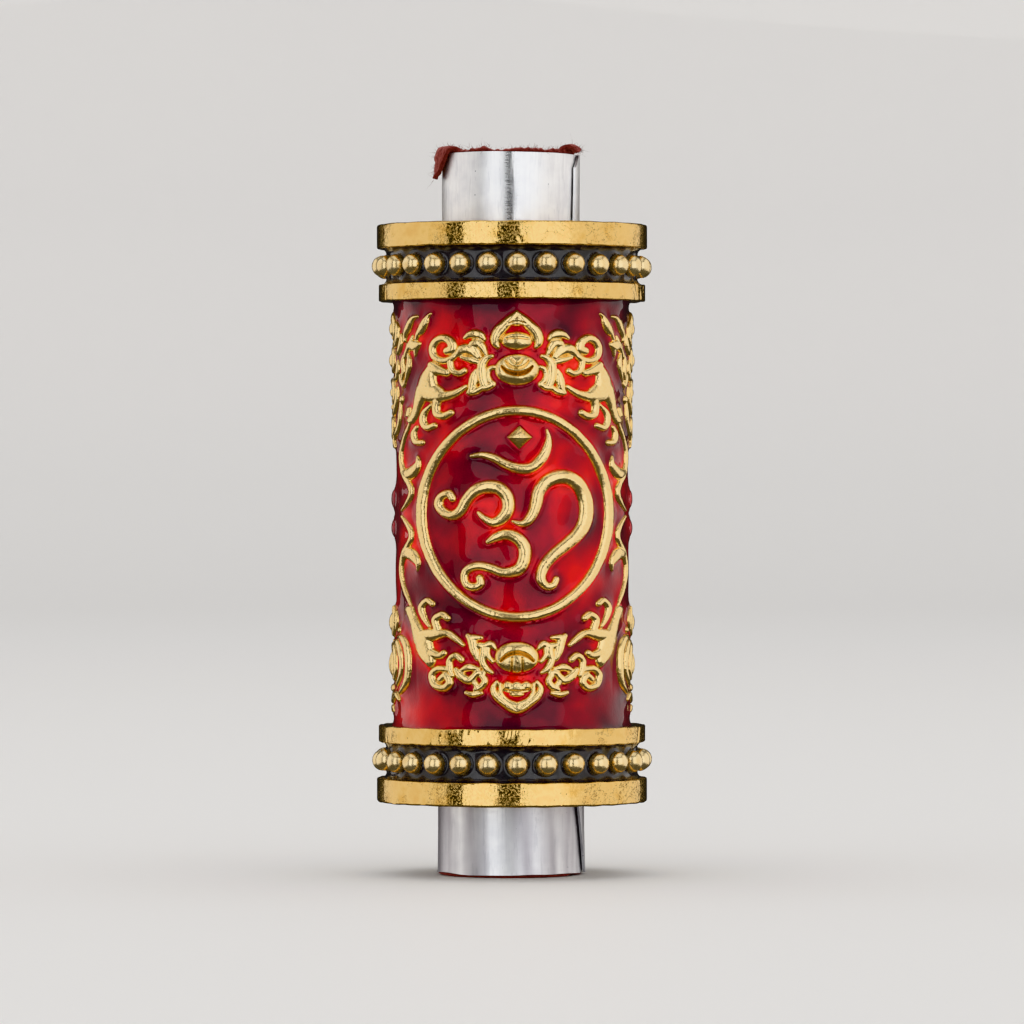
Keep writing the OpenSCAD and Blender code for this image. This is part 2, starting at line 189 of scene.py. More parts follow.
def rounded_section(corners, step):
    """A closed outline through [r, z, rounding] corners, in mm, with round corners."""
    outline = []
    total = len(corners)
    for i, (r, z, rounding) in enumerate(corners):
        here = np.array([r, z])
        before = np.array(corners[i - 1][:2]) - here
        after = np.array(corners[(i + 1) % total][:2]) - here
        start = here + before / np.linalg.norm(before) * rounding
        end = here + after / np.linalg.norm(after) * rounding
        bends = 5 if rounding > 0 else 1
        for t in np.linspace(0, 1, bends):
            outline.append((1 - t) ** 2 * start + 2 * t * (1 - t) * here + t * t * end)
    dense = []
    for i, here in enumerate(outline):
        there = outline[(i + 1) % len(outline)]
        parts = max(1, int(np.linalg.norm(there - here) / step))
        dense.extend(here + (there - here) * k / parts for k in range(parts))
    return np.array(dense)


# ---- Shaders ------------------------------------------------------------

class Nodes:
    """Short calls for the nodes of a material or a world."""

    def __init__(self, tree):
        self.tree = tree

    def link(self, value, socket):
        if isinstance(value, bpy.types.NodeSocket):
            self.tree.links.new(value, socket)
        else:
            socket.default_value = value

    def new(self, kind, **inputs):
        """A node whose inputs are linked to other nodes, or set to numbers."""
        node = self.tree.nodes.new("ShaderNode" + kind)
        for key, value in inputs.items():
            self.link(value, node.inputs[key.replace("_", " ")])
        return node

    def vector(self, operation, a, socket, value):
        node = self.new("VectorMath")
        node.operation = operation
        self.link(a, node.inputs[0])
        node.inputs[socket].default_value = value
        return node.outputs[0]

    def math(self, operation, a, b=0.5):
        node = self.new("Math")
        node.operation = operation
        self.link(a, node.inputs[0])
        self.link(b, node.inputs[1])
        return node.outputs[0]

    def ramp(self, value, *stops):
        """A colour ramp from (position, colour) stops."""
        node = self.new("ValToRGB", Fac=value)
        elements = node.color_ramp.elements
        while len(elements) < len(stops):
            elements.new(0.5)
        for element, (position, colour) in zip(elements, stops):
            element.position = position
            element.color = (*colour, 1)
        return node.outputs[0]

    def span(self, value, low_in, high_in, low_out, high_out):
        """A value moved from one range to another, and held inside it."""
        node = self.new("MapRange", Value=value, From_Min=low_in, From_Max=high_in, To_Min=low_out,
                        To_Max=high_out)
        return node.outputs[0]

    def mix(self, factor, a, b):
        """Colour a blended into colour b. A colour is three numbers or another node's."""
        node = self.new("Mix")
        node.data_type = "RGBA"
        self.link(factor, node.inputs["Factor"])
        self.link(a if isinstance(a, bpy.types.NodeSocket) else (*a, 1), node.inputs["A"])
        self.link(b if isinstance(b, bpy.types.NodeSocket) else (*b, 1), node.inputs["B"])
        return node.outputs["Result"]

    def bump(self, height, depth, strength=1.0, under=None):
        """A bump of depth mm, over another one if under is given."""
        node = self.new("Bump", Height=height, Distance=depth * MM, Strength=strength)
        if under is not None:
            self.link(under, node.inputs["Normal"])
        return node.outputs[0]


class Shader(Nodes):
    """A Principled material. The sizes of its textures are in millimetres."""

    def __init__(self, name, **values):
        self.material = bpy.data.materials.new(name)
        self.material.use_nodes = True
        super().__init__(self.material.node_tree)
        self.bsdf = self.tree.nodes["Principled BSDF"]
        for key, value in values.items():
            self.bsdf.inputs[key.replace("_", " ")].default_value = value
        where = self.new("TexCoord").outputs["Object"]
        self.place = self.vector("SCALE", where, "Scale", 1 / MM)

    def noise(self, scale, detail=2.0, roughness=0.5, stretch=None):
        place = self.place if stretch is None else self.vector("MULTIPLY", self.place, 1, stretch)
        node = self.new("TexNoise", Vector=place, Scale=scale, Detail=detail, Roughness=roughness)
        return node.outputs[0]

    def cells(self, scale):
        """Distance to the middle of the nearest cell."""
        return self.new("TexVoronoi", Vector=self.place, Scale=scale).outputs["Distance"]

    def attribute(self, name):
        node = self.new("Attribute")
        node.attribute_name = name
        return node.outputs["Fac"]

    def set(self, key, value):
        self.link(value, self.bsdf.inputs[key])


def grained(name, grain, dark, pale, depth, strength, **values):
    """A plain material whose grain, a noise, sets both its tone and its bump."""
    s = Shader(name, **values)
    pattern = s.noise(*grain)
    s.set("Base Color", s.ramp(pattern, (0.3, dark), (0.7, pale)))
    s.set("Normal", s.bump(pattern, depth, strength))
    return s.material


def pits(s, scale, size, cloud, least):
    """1 in small casting pits, which come only where a cloud is thick."""
    small = s.math("LESS_THAN", s.cells(scale), size)
    return s.math("MULTIPLY", small, s.math("GREATER_THAN", cloud, least))


def antique_gold():
    """Gold plate over a casting: pale on the crests from a painted highlight, brown at the foot from patina
    and painted shade, with a few pits.
    """
    s = Shader("antique_gold", Metallic=1.0)
    lift = s.attribute("lift")
    grain = s.noise(7, 3, 0.6)
    # Painted highlight on the crests, and patina with painted shade at the foot, both from the relief's
    # height, over a random grain.
    painted_light_and_patina = s.math("ADD", s.span(lift, 0.0, 0.5, 0.0, 0.85), s.span(grain, 0.35, 0.65, -0.08, 0.12))
    tone = s.ramp(painted_light_and_patina, (0.0, (0.3, 0.13, 0.035)), (0.2, (0.66, 0.42, 0.15)),
                  (0.55, (0.95, 0.63, 0.25)), (0.95, (1.0, 0.77, 0.39)))
    speck = pits(s, 3.4, 0.13, s.noise(0.9, 3, 0.6), 0.58)
    s.set("Base Color", s.mix(speck, tone, (0.16, 0.09, 0.03)))
    s.set("Roughness", s.span(grain, 0.3, 0.7, 0.17, 0.27))
    hammered = s.bump(s.noise(1.5, 2.5), 0.07, 0.8)
    pitted = s.bump(s.math("SUBTRACT", s.noise(4.5, 3, 0.6), speck), 0.022, 1.0, hammered)
    s.set("Normal", pitted)
    return s.material


def polished_gold():
    """Mirror-like gold with sparse bright grains, casting pits and a few dark cracks."""
    s = Shader("polished_gold", Metallic=1.0)
    cloud = s.noise(0.55, 3, 0.6)
    grains = s.math("MAXIMUM", s.noise(5.5, 3, 0.65), 0.5)
    tone = s.ramp(cloud, (0.3, (0.84, 0.52, 0.16)), (0.5, (0.93, 0.64, 0.25)), (0.7, (0.88, 0.56, 0.2)))
    speck = pits(s, 2.4, 0.12, s.noise(0.8, 2), 0.53)
    crack = s.math("LESS_THAN", s.math("ABSOLUTE", s.math("SUBTRACT", s.noise(1.4, 4, 0.7), 0.5)), 0.006)
    crack = s.math("MULTIPLY", crack, s.math("GREATER_THAN", s.noise(0.35, 1), 0.53))
    mark = s.math("MAXIMUM", speck, crack)
    s.set("Base Color", s.mix(s.math("MULTIPLY", mark, 0.85), tone, (0.1, 0.05, 0.02)))
    s.set("Roughness", s.span(cloud, 0.3, 0.7, 0.03, 0.06))
    dents = s.bump(s.noise(0.8, 2), 0.008, 0.5)
    grit = s.bump(s.math("SUBTRACT", grains, mark), 0.03, 1.0, dents)
    s.set("Normal", grit)
    return s.material


def bead_gold():
    """Bright gold of the beads, smoother than the castings."""
    s = Shader("bead_gold", Metallic=1.0)
    cloud = s.noise(1.3, 2)
    s.set("Base Color", s.ramp(cloud, (0.3, (0.9, 0.66, 0.32)), (0.6, (1.0, 0.8, 0.46))))
    s.set("Roughness", s.span(s.noise(6, 2), 0.3, 0.7, 0.23, 0.31))
    s.set("Normal", s.bump(s.noise(4, 3, 0.6), 0.01, 1.0))
    return s.material


def candy_enamel():
    """Red translucent enamel: a hammered metal floor seen through clear glass.

    It is bright where it lies shallow over the floor and dark where it pools; painted light brightens it
    between close strokes of gold, and painted shade darkens it beside the gold and at the rims.
    """
    s = Shader("red_enamel", Metallic=0.93, Coat_Weight=1.0, Coat_Roughness=0.012, Coat_IOR=1.47)
    cloud = s.noise(0.2, 1.5, 0.5)
    streak = s.noise(0.5, 2, 0.5)
    pool = s.math("ADD", s.math("MULTIPLY", cloud, 0.86), s.math("MULTIPLY", streak, 0.14))
    # The attribute read here is painted light between close strokes of gold and painted shade beside the
    # gold and at the rims.
    shallow_and_painted_light = s.math("ADD", s.span(pool, 0.37, 0.65, 0.1, 0.78), s.attribute("painted_light_and_shade"))
    tone = s.ramp(shallow_and_painted_light, (0.0, (0.065, 0.0003, 0.01)), (0.4, (0.27, 0.0006, 0.013)),
                  (0.7, (0.6, 0.0012, 0.008)), (1.0, (1.0, 0.02, 0.004)))
    s.set("Base Color", tone)
    s.set("Roughness", s.span(s.noise(1.5, 2), 0.3, 0.7, 0.3, 0.45))
    floor_waves = s.bump(s.noise(0.5, 1.5), 0.25, 0.42)
    s.set("Normal", s.bump(s.noise(5, 3), 0.03, 0.5, floor_waves))
    s.set("Coat Normal", s.bump(s.noise(0.4, 1), 0.22, 0.8))
    return s.material


def charcoal_enamel():
    """Near-black glossy enamel with a faint cool cast."""
    s = Shader("charcoal_enamel", Coat_Weight=1.0, Coat_Roughness=0.03, Coat_IOR=1.45)
    haze = s.noise(1.1, 3)
    s.set("Base Color", s.ramp(haze, (0.35, (0.006, 0.005, 0.007)), (0.65, (0.02, 0.016, 0.02))))
    s.set("Roughness", s.span(s.noise(4, 2), 0.3, 0.7, 0.25, 0.4))
    s.set("Normal", s.bump(s.noise(1.6, 2), 0.03, 0.4))
    return s.material


def rolled_aluminium():
    """Satin sheet: long draw lines, fine scratches round it and a few dark nicks.

    Its foot is darker in long streaks, and it is rubbed smooth in front above the drum.
    """
    s = Shader("aluminium_sheet", Metallic=1.0)
    drawn = s.noise(3, 3, 0.6, (1, 1, 0.08))
    around = s.noise(5, 2, 0.6, (0.3, 0.3, 2.5))
    cloud = s.noise(0.6, 3)
    nick = s.math("LESS_THAN", s.cells(0.9), 0.05)
    tone = s.ramp(s.math("ADD", s.math("MULTIPLY", cloud, 0.6), s.math("MULTIPLY", drawn, 0.4)),
                  (0.38, (0.84, 0.84, 0.86)), (0.58, (0.97, 0.97, 0.975)))
    scratch = s.math("GREATER_THAN", s.noise(2.2, 3, 0.6, (1, 1, 0.12)), 0.6)
    mark = s.math("MAXIMUM", s.math("MULTIPLY", nick, 0.6), s.math("MULTIPLY", scratch, 0.1))
    # The foot is made darker in long streaks.
    dull = s.span(s.noise(0.38, 2, 0.5, (1, 1, 0.1)), 0.38, 0.6, 0.1, 0.9)
    tone = s.mix(s.math("MULTIPLY", s.attribute("darker_foot"), dull), tone, (0.42, 0.395, 0.425))
    s.set("Base Color", s.mix(mark, tone, (0.16, 0.17, 0.22)))
    smoother = s.math("MULTIPLY", s.attribute("rubbed"), 0.2)
    s.set("Roughness", s.math("SUBTRACT", s.span(around, 0.3, 0.7, 0.36, 0.46), smoother))
    lines = s.bump(drawn, 0.01, 1.0)
    s.set("Normal", s.bump(around, 0.002, 1.0, lines))
    return s.material


def brushed_cloth():
    """Maroon cloth with a brushed nap."""
    s = Shader("maroon_cloth", Roughness=0.95, Sheen_Weight=0.6, Sheen_Roughness=0.5)
    s.bsdf.inputs["Sheen Tint"].default_value = (0.75, 0.3, 0.27, 1)
    s.bsdf.inputs["Specular IOR Level"].default_value = 0.15
    nap = s.noise(6, 4, 0.7)
    s.set("Base Color", s.ramp(nap, (0.3, (0.035, 0.005, 0.006)), (0.5, (0.1, 0.018, 0.016)),
                               (0.72, (0.22, 0.06, 0.05))))
    weave = s.bump(s.cells(5), 0.06, 0.5)
    s.set("Normal", s.bump(nap, 0.08, 0.8, weave))
    return s.material


def turned_metal(name, dark, pale):
    """Plain turned metal of an inner part, with lathe lines."""
    s = Shader(name, Metallic=1.0)
    lines = s.noise(9, 2, 0.5, (0.1, 0.1, 3))
    s.set("Base Color", s.ramp(lines, (0.35, dark), (0.65, pale)))
    s.set("Roughness", s.span(lines, 0.3, 0.7, 0.25, 0.4))
    s.set("Normal", s.bump(lines, 0.01, 0.6))
    return s.material


def moulded_nylon():
    """Off-white plastic of the thrust washers."""
    s = Shader("nylon", Roughness=0.5)
    haze = s.noise(2, 3)
    s.set("Base Color", s.ramp(haze, (0.3, (0.68, 0.66, 0.6)), (0.7, (0.8, 0.78, 0.73))))
    s.set("Normal", s.bump(s.noise(15, 2), 0.01, 0.4))
    return s.material


GOLD = antique_gold()
POLISHED = polished_gold()
BEAD_GOLD = bead_gold()
RED = candy_enamel()
CHARCOAL = charcoal_enamel()
ALUMINIUM = rolled_aluminium()
CLOTH = brushed_cloth()
PAPER = grained("mantra_paper", (3, 4, 0.7, (1, 1, 0.3)), (0.5, 0.4, 0.24), (0.78, 0.7, 0.52), 0.05, 0.5,
                Roughness=0.85)
WOOD = grained("rod_wood", (3, 4, 0.6, (1, 1, 0.05)), (0.17, 0.08, 0.03), (0.42, 0.24, 0.11), 0.05, 0.6,
               Roughness=0.6)
SILK = grained("silk_thread", (12, 2, 0.5), (0.35, 0.17, 0.03), (0.8, 0.5, 0.13), 0.03, 0.6,
               Roughness=0.45, Sheen_Weight=0.4)
BRONZE = turned_metal("bearing_bronze", (0.36, 0.2, 0.09), (0.62, 0.4, 0.2))
BRASS = turned_metal("brass_tube", (0.45, 0.3, 0.1), (0.7, 0.52, 0.24))
NYLON = moulded_nylon()


# ---- Relief -------------------------------------------------------------

def smooth_line(path):
    """A smooth line through [across, up, width] points."""
    steps = 7
    points = np.array([path[0], *path, path[-1]], dtype=float)
    line = []
    for a, b, c, d in zip(points, points[1:], points[2:], points[3:]):
        for t in np.arange(steps) / steps:
            line.append(0.5 * (2 * b + t * (c - a) + t * t * (2 * a - 5 * b + 4 * c - d)
                               + t ** 3 * (3 * b - a - 3 * c + d)))
    line.append(points[-1])
    return np.array(line)


class Relief:
    """A height map over a stretch of the drum's face, in which strokes and domes are raised.

    face is the azimuth of its middle in degrees. On a wrapped relief, across is
    measured along the surface. Otherwise it is measured on a plane in front, as
    the sides of a casting fall away. A flip of -1 mirrors it, and drop lowers it.
    """

    MARGIN = 0.9
    FALL = 1.5
    FLANK = 0.09

    def __init__(self, face, reach_from, reach_to, wrapped=False, flip=1, drop=0.0):
        if flip < 0:
            reach_from, reach_to = -reach_to, -reach_from
        first = int(round(math.radians(face + reach_from) / STEP_ANGLE))
        last = int(round(math.radians(face + reach_to) / STEP_ANGLE))
        self.columns = np.arange(first, last + 1)
        self.angles = self.columns * STEP_ANGLE
        turned = self.angles - math.radians(face)
        across = RELIEF_R * (turned if wrapped else np.sin(turned))
        self.across = np.broadcast_to(across * flip, (ROWS, len(across)))
        self.up = np.broadcast_to((UP + drop)[:, None], self.across.shape)
        self.height = np.full(self.across.shape, -FAR)
        self.edge = np.full(self.across.shape, FAR)

    def window(self, points, widest):
        """The part of the map that a shape can reach."""
        reach = widest + self.MARGIN
        near = (self.across > points[:, 0].min() - reach) & (self.across < points[:, 0].max() + reach)
        near &= (self.up > points[:, 1].min() - reach) & (self.up < points[:, 1].max() + reach)
        rows = np.flatnonzero(near.any(1))
        columns = np.flatnonzero(near.any(0))
        if not len(rows) or not len(columns):
            return None
        return np.s_[rows[0]:rows[-1] + 1, columns[0]:columns[-1] + 1]

    def put(self, window, height, edge):
        self.height[window] = np.maximum(self.height[window], height)
        self.edge[window] = np.minimum(self.edge[window], edge)

    def spans(self, line, window):
        """For each short span of a line: the distance to it over the window, and its width there."""
        x, y = self.across[window], self.up[window]
        for a, b in zip(line, line[1:]):
            d = b - a
            length = d[0] ** 2 + d[1] ** 2
            if length < 1e-9:
                continue
            t = np.clip(((x - a[0]) * d[0] + (y - a[1]) * d[1]) / length, 0, 1)
            yield np.hypot(x - a[0] - t * d[0], y - a[1] - t * d[1]), a[2] + t * d[2]

    def stroke(self, path, tall=1.0):
        """Raises a rounded stroke along a path of [across, up, width] points."""
        line = smooth_line(path)
        line[:, 2] = np.maximum(line[:, 2], 0.1) / 2 + self.FLANK
        window = self.window(line, line[:, 2].max())
        if window is None:
            return
        edge = np.full(self.across[window].shape, FAR)
        half = np.ones(edge.shape)
        for away, wide in self.spans(line, window):
            over = away - wide
            closer = over < edge
            edge = np.where(closer, over, edge)
            half = np.where(closer, wide, half)
        self.put(window, self.section(edge, half, tall), edge)

    def section(self, edge, half, tall):
        """Height of a rounded stroke or dome, which goes on falling past its edge."""
        inside = np.clip(1 + edge / half, 0, 1)
        crown = RELIEF_H * tall * np.minimum(0.92, 0.82 * (half / 0.5) ** 0.5)
        return np.where(edge < 0, crown * (1 - inside ** 2.1) ** 0.62, -self.FALL * edge)

    def dome(self, across, up, half_w, half_h, tall=1.0):
        """Raises an oval dome."""
        window = self.window(np.array([[across, up]]), max(half_w, half_h))
        if window is None:
            return
        x, y = self.across[window] - across, self.up[window] - up
        away = np.hypot(x / half_w, y / half_h)
        half = min(half_w, half_h)
        edge = (away - 1) * half
        self.put(window, self.section(edge, np.full(x.shape, half), tall), edge)

    def pyramid(self, across, up, half_w, half_h, tall=1.0):
        """Raises a four-sided pyramid with its corners on the axes."""
        window = self.window(np.array([[across, up]]), max(half_w, half_h))
        x, y = self.across[window] - across, self.up[window] - up
        away = np.abs(x) / half_w + np.abs(y) / half_h
        edge = (away - 1) * min(half_w, half_h) * 0.7
        height = np.where(away < 1, RELIEF_H * tall * np.maximum(1 - away, 0) ** 0.8, -self.FALL * edge)
        self.put(window, height, edge)

    def ring(self, half_w, half_h, width, tall=1.0):
        """Raises an oval ring of rounded wire."""
        turns = np.linspace(0, TURN, 73)
        wire = np.stack([(half_w - width / 2) * np.cos(turns), (half_h - width / 2) * np.sin(turns),
                         np.full(turns.shape, width)], -1)
        for start in range(0, 72, 6):
            self.stroke(wire[start:start + 7], tall)

    def groove(self, path, deep):
        """Cuts a soft groove along a path into what is already raised."""
        line = smooth_line(path)
        window = self.window(line, line[:, 2].max())
        if window is None:
            return
        cut = 0
        for away, wide in self.spans(line, window):
            cut = np.maximum(cut, np.exp(-(away / (0.5 * wide)) ** 2))
        raised = self.height[window] > 0.1
        self.height[window] -= np.where(raised, deep * cut, 0)

    def crease(self, half, deep):
        """Cuts a groove given by its left half, whose last point is on the middle line."""
        self.groove(half + [[-across, up, width] for across, up, width in half[-2::-1]], deep)

    def solid(self, name):
        """The raised shapes as a closed mesh that goes down into the enamel."""
        target = self.columns % COLUMNS
        shore[:, target] = np.minimum(shore[:, target], self.edge)
        waves = ripple(self.across, self.up, 1.1, 5) * 0.018
        grain = ripple(self.across, self.up, 0.35, 6) * 0.004
        height = self.height + (waves + grain)
        corner = height > -0.14
        filled = corner[:-1, :-1] | corner[1:, :-1] | corner[:-1, 1:] | corner[1:, 1:]
        rows, columns = np.nonzero(filled)
        wide = height.shape[1]
        a = rows * wide + columns
        quads = np.stack([a, a + 1, a + 1 + wide, a + wide], -1)
        used, quads = np.unique(quads, return_inverse=True)
        quads = quads.reshape(-1, 4)
        row, column = np.divmod(used, wide)
        foot = ENAMEL_R - 0.3
        radius = np.maximum(ENAMEL_R + height[row, column], foot + 0.04)
        angle = self.angles[column]
        z = PANEL_MID + UP[row]
        top = np.stack([radius * np.sin(angle), -radius * np.cos(angle), z], -1)
        base = np.stack([foot * np.sin(angle), -foot * np.cos(angle), z], -1)
        count = len(used)
        sides = np.concatenate([quads[:, [k, (k + 1) % 4]] for k in range(4)])
        key = np.sort(sides, 1)
        _, which, uses = np.unique(key[:, 0].astype(np.int64) * count + key[:, 1],
                                   return_index=True, return_counts=True)
        rim = sides[which[uses == 1]]
        walls = np.stack([rim[:, 1], rim[:, 0], rim[:, 0] + count, rim[:, 1] + count], -1)
        # Height over the enamel, from which the gold material paints its highlight on the crests and its
        # shade at the foot.
        lift = np.clip(height[row, column] / RELIEF_H, 0, 1)
        return mesh_object(name, np.concatenate([top, base]),
                           np.concatenate([quads, quads[:, ::-1] + count, walls]),
                           {"lift": np.concatenate([lift, lift * 0])})


def gold_casting(relief, node):
    """Makes a relief into the gold piece that stands for a CAD node of the drum."""
    finish_piece(relief.solid(node + "_casting"), "drum", GOLD, "antique_gold", node)


# The sign in the medallion: two bows and a loop, with a crescent and a jewel above.
OM_STROKES = [
    [[-5.5, 1.25, 0.5], [-5.85, 1.65, 0.6], [-6.5, 1.35, 0.6], [-6.65, 0.65, 0.65], [-6.1, 0.05, 0.7],
     [-5.4, -0.1, 0.75], [-4.8, 0.3, 0.8], [-4.35, 1.1, 0.85], [-3.65, 1.85, 0.9], [-2.7, 2.2, 0.95],
     [-1.6, 2.1, 1.0], [-0.9, 1.45, 1.05], [-0.75, 0.55, 1.05], [-1.2, -0.3, 0.95], [-2.0, -0.7, 0.7],
     [-2.75, -0.4, 0.5], [-3.3, 0.1, 0.2]],
    [[-2.5, -2.3, 0.3], [-1.8, -1.9, 0.7], [-0.9, -1.7, 0.85], [0.0, -2.0, 0.95], [0.6, -2.7, 1.05],
     [0.65, -3.6, 1.05], [0.3, -4.4, 1.0], [-0.4, -4.75, 0.85], [-1.3, -4.8, 0.7], [-2.2, -4.5, 0.65],
     [-3.1, -4.3, 0.6], [-3.9, -4.4, 0.6], [-4.4, -4.8, 0.6], [-4.5, -5.4, 0.6], [-4.2, -5.9, 0.6],
     [-3.6, -6.0, 0.6], [-3.15, -5.75, 0.6], [-3.2, -5.3, 0.6]],
    [[-0.4, -0.6, 0.15], [0.3, -0.8, 0.4], [0.9, -0.6, 0.7], [1.4, 0.1, 0.85], [1.7, 1.0, 1.0],
     [1.9, 1.8, 1.0], [2.5, 2.6, 1.05], [3.4, 3.0, 1.05], [4.4, 3.0, 1.05], [5.3, 2.5, 1.1],
     [5.9, 1.5, 1.1], [6.1, 0.4, 1.1], [5.9, -0.8, 1.1], [5.3, -1.7, 1.0], [4.3, -2.55, 0.95],
     [3.3, -3.3, 0.9], [2.5, -4.1, 0.9], [2.1, -4.9, 0.85], [2.15, -5.5, 0.75], [2.6, -5.95, 0.6],
     [3.15, -5.85, 0.55], [3.4, -5.4, 0.5]],
]
OM_CRESCENT = [
    [-3.9, 4.75, 0.2], [-3.0, 4.85, 0.4], [-2.0, 4.6, 0.55], [-1.0, 4.1, 0.65], [0.1, 3.75, 0.75],
    [1.2, 3.8, 0.8], [2.1, 4.5, 0.85], [2.6, 5.4, 0.7], [2.75, 6.2, 0.4], [2.6, 6.9, 0.1],
]

# Left half of the lotus crest above the medallion
UPPER_SPADE = [
    [[0, 17.0, 0.05], [-0.2, 16.65, 0.45], [-0.6, 16.25, 0.75], [-1.15, 15.75, 0.85], [-1.6, 15.3, 0.9],
     [-1.85, 14.8, 0.85], [-1.85, 14.4, 0.65], [-1.65, 14.1, 0.35]],
]
UPPER_CREST = [
    [[-2.8, 14.7, 0.15], [-3.1, 15.0, 0.45], [-3.6, 15.12, 0.6], [-4.05, 15.05, 0.42], [-4.45, 14.8, 0.12]],
    [[-2.7, 13.5, 0.2], [-2.95, 14.0, 0.5], [-3.3, 14.35, 0.6], [-3.75, 14.3, 0.55], [-4.0, 14.05, 0.2]],
    [[-3.8, 14.0, 0.4], [-3.5, 13.7, 0.35], [-3.2, 13.3, 0.2]],
    [[-3.35, 13.2, 0.2], [-3.8, 13.65, 0.5], [-4.3, 13.9, 0.72], [-4.75, 13.8, 0.65], [-5.15, 13.4, 0.25]],
    [[-3.2, 12.8, 0.2], [-3.9, 12.98, 0.38], [-4.7, 13.22, 0.2]],
    [[-2.15, 13.3, 0.15], [-2.65, 13.1, 0.42], [-3.0, 12.6, 0.62], [-3.05, 11.9, 0.68], [-2.9, 11.2, 0.6],
     [-2.75, 10.85, 0.45]],
    [[-3.5, 12.1, 0.2], [-3.68, 11.6, 0.55], [-3.8, 11.0, 0.62], [-3.9, 10.6, 0.45], [-4.15, 10.3, 0.2]],
    [[-3.1, 10.65, 0.3], [-3.5, 10.42, 0.36], [-4.0, 10.28, 0.25]],
    [[-2.0, 12.4, 0.15], [-2.38, 12.2, 0.28], [-2.5, 11.7, 0.28], [-2.3, 11.25, 0.28], [-2.0, 11.05, 0.2]],
    [[-2.05, 10.95, 0.25], [-2.5, 10.75, 0.36], [-3.0, 10.7, 0.35]],
]
UPPER_SCROLL = [
    [[-5.1, 13.55, 0.3], [-5.5, 13.15, 0.4], [-6.25, 12.95, 0.45], [-6.95, 13.25, 0.45], [-7.2, 13.9, 0.45],
     [-6.9, 14.55, 0.5], [-6.25, 14.8, 0.55], [-5.65, 14.5, 0.6], [-5.5, 13.95, 0.7], [-5.95, 13.75, 0.55]],
    [[-5.7, 13.0, 0.35], [-5.65, 12.45, 0.42], [-5.4, 12.05, 0.42], [-4.9, 11.9, 0.42], [-4.5, 12.1, 0.4]],
    [[-7.25, 12.6, 0.5], [-7.0, 12.3, 0.8], [-6.5, 12.1, 0.6], [-6.0, 11.95, 0.5]],
    [[-7.3, 12.2, 0.7], [-7.6, 11.3, 1.25], [-7.5, 10.5, 1.6], [-6.9, 10.2, 1.3], [-6.2, 10.05, 0.75],
     [-5.3, 10.25, 0.5], [-4.35, 10.8, 0.25]],
    [[-7.9, 10.6, 1.1], [-8.2, 9.9, 0.8], [-8.45, 9.1, 0.5], [-8.7, 8.45, 0.48], [-8.95, 8.05, 0.5]],
    [[-6.7, 9.9, 0.55], [-6.9, 9.1, 0.5], [-6.75, 8.55, 0.55], [-6.2, 8.4, 0.52], [-5.65, 8.65, 0.45]],
    [[-7.3, 9.3, 0.12], [-7.85, 8.7, 0.35], [-8.0, 8.0, 0.4], [-7.65, 7.45, 0.4], [-7.05, 7.6, 0.35]],
    [[-8.5, 7.5, 0.12], [-8.75, 6.95, 0.3], [-8.6, 6.3, 0.34], [-8.1, 6.2, 0.3]],
    [[-9.1, 9.0, 0.15], [-9.2, 8.5, 0.25]],
]

# Left half of the crest below the medallion, which hangs with its point down
LOWER_SPADE = [
    [[-1.75, -13.85, 0.3], [-2.05, -14.4, 0.5], [-1.75, -15.0, 0.6], [-1.1, -15.55, 0.6],
     [-0.45, -16.0, 0.6], [0, -16.2, 0.4]],
    [[-1.45, -14.0, 0.25], [-1.38, -14.7, 0.3], [-0.85, -15.35, 0.35], [0, -15.75, 0.5]],
]
LOWER_CREST = [
    [[-4.75, -12.9, 0.2], [-4.1, -12.65, 0.48], [-3.3, -12.75, 0.15]],
    [[-5.2, -12.85, 0.3], [-4.8, -13.35, 0.58], [-4.15, -13.7, 0.55], [-3.75, -13.45, 0.45],
     [-3.4, -13.1, 0.42], [-2.9, -13.1, 0.3]],
    [[-3.0, -13.3, 0.4], [-2.75, -13.75, 0.45], [-3.05, -14.2, 0.45], [-3.55, -14.45, 0.25]],
    [[-3.6, -13.9, 0.35], [-3.35, -14.3, 0.3]],
    [[-4.35, -14.72, 0.18], [-3.75, -14.87, 0.36], [-3.0, -14.75, 0.12]],
    [[-4.2, -10.05, 0.25], [-3.85, -10.5, 0.6], [-3.65, -11.2, 0.62], [-3.4, -11.9, 0.3]],
    [[-3.8, -10.2, 0.38], [-3.05, -10.2, 0.15]],
    [[-3.4, -10.8, 0.28], [-2.9, -10.95, 0.52], [-2.87, -11.5, 0.58], [-3.0, -12.05, 0.48],
     [-2.65, -12.7, 0.42], [-2.15, -13.05, 0.15]],
    [[-2.7, -10.85, 0.4], [-2.25, -10.72, 0.4], [-1.9, -11.05, 0.18]],
    [[-2.5, -11.0, 0.3], [-2.52, -11.6, 0.32], [-2.1, -12.15, 0.15]],
]
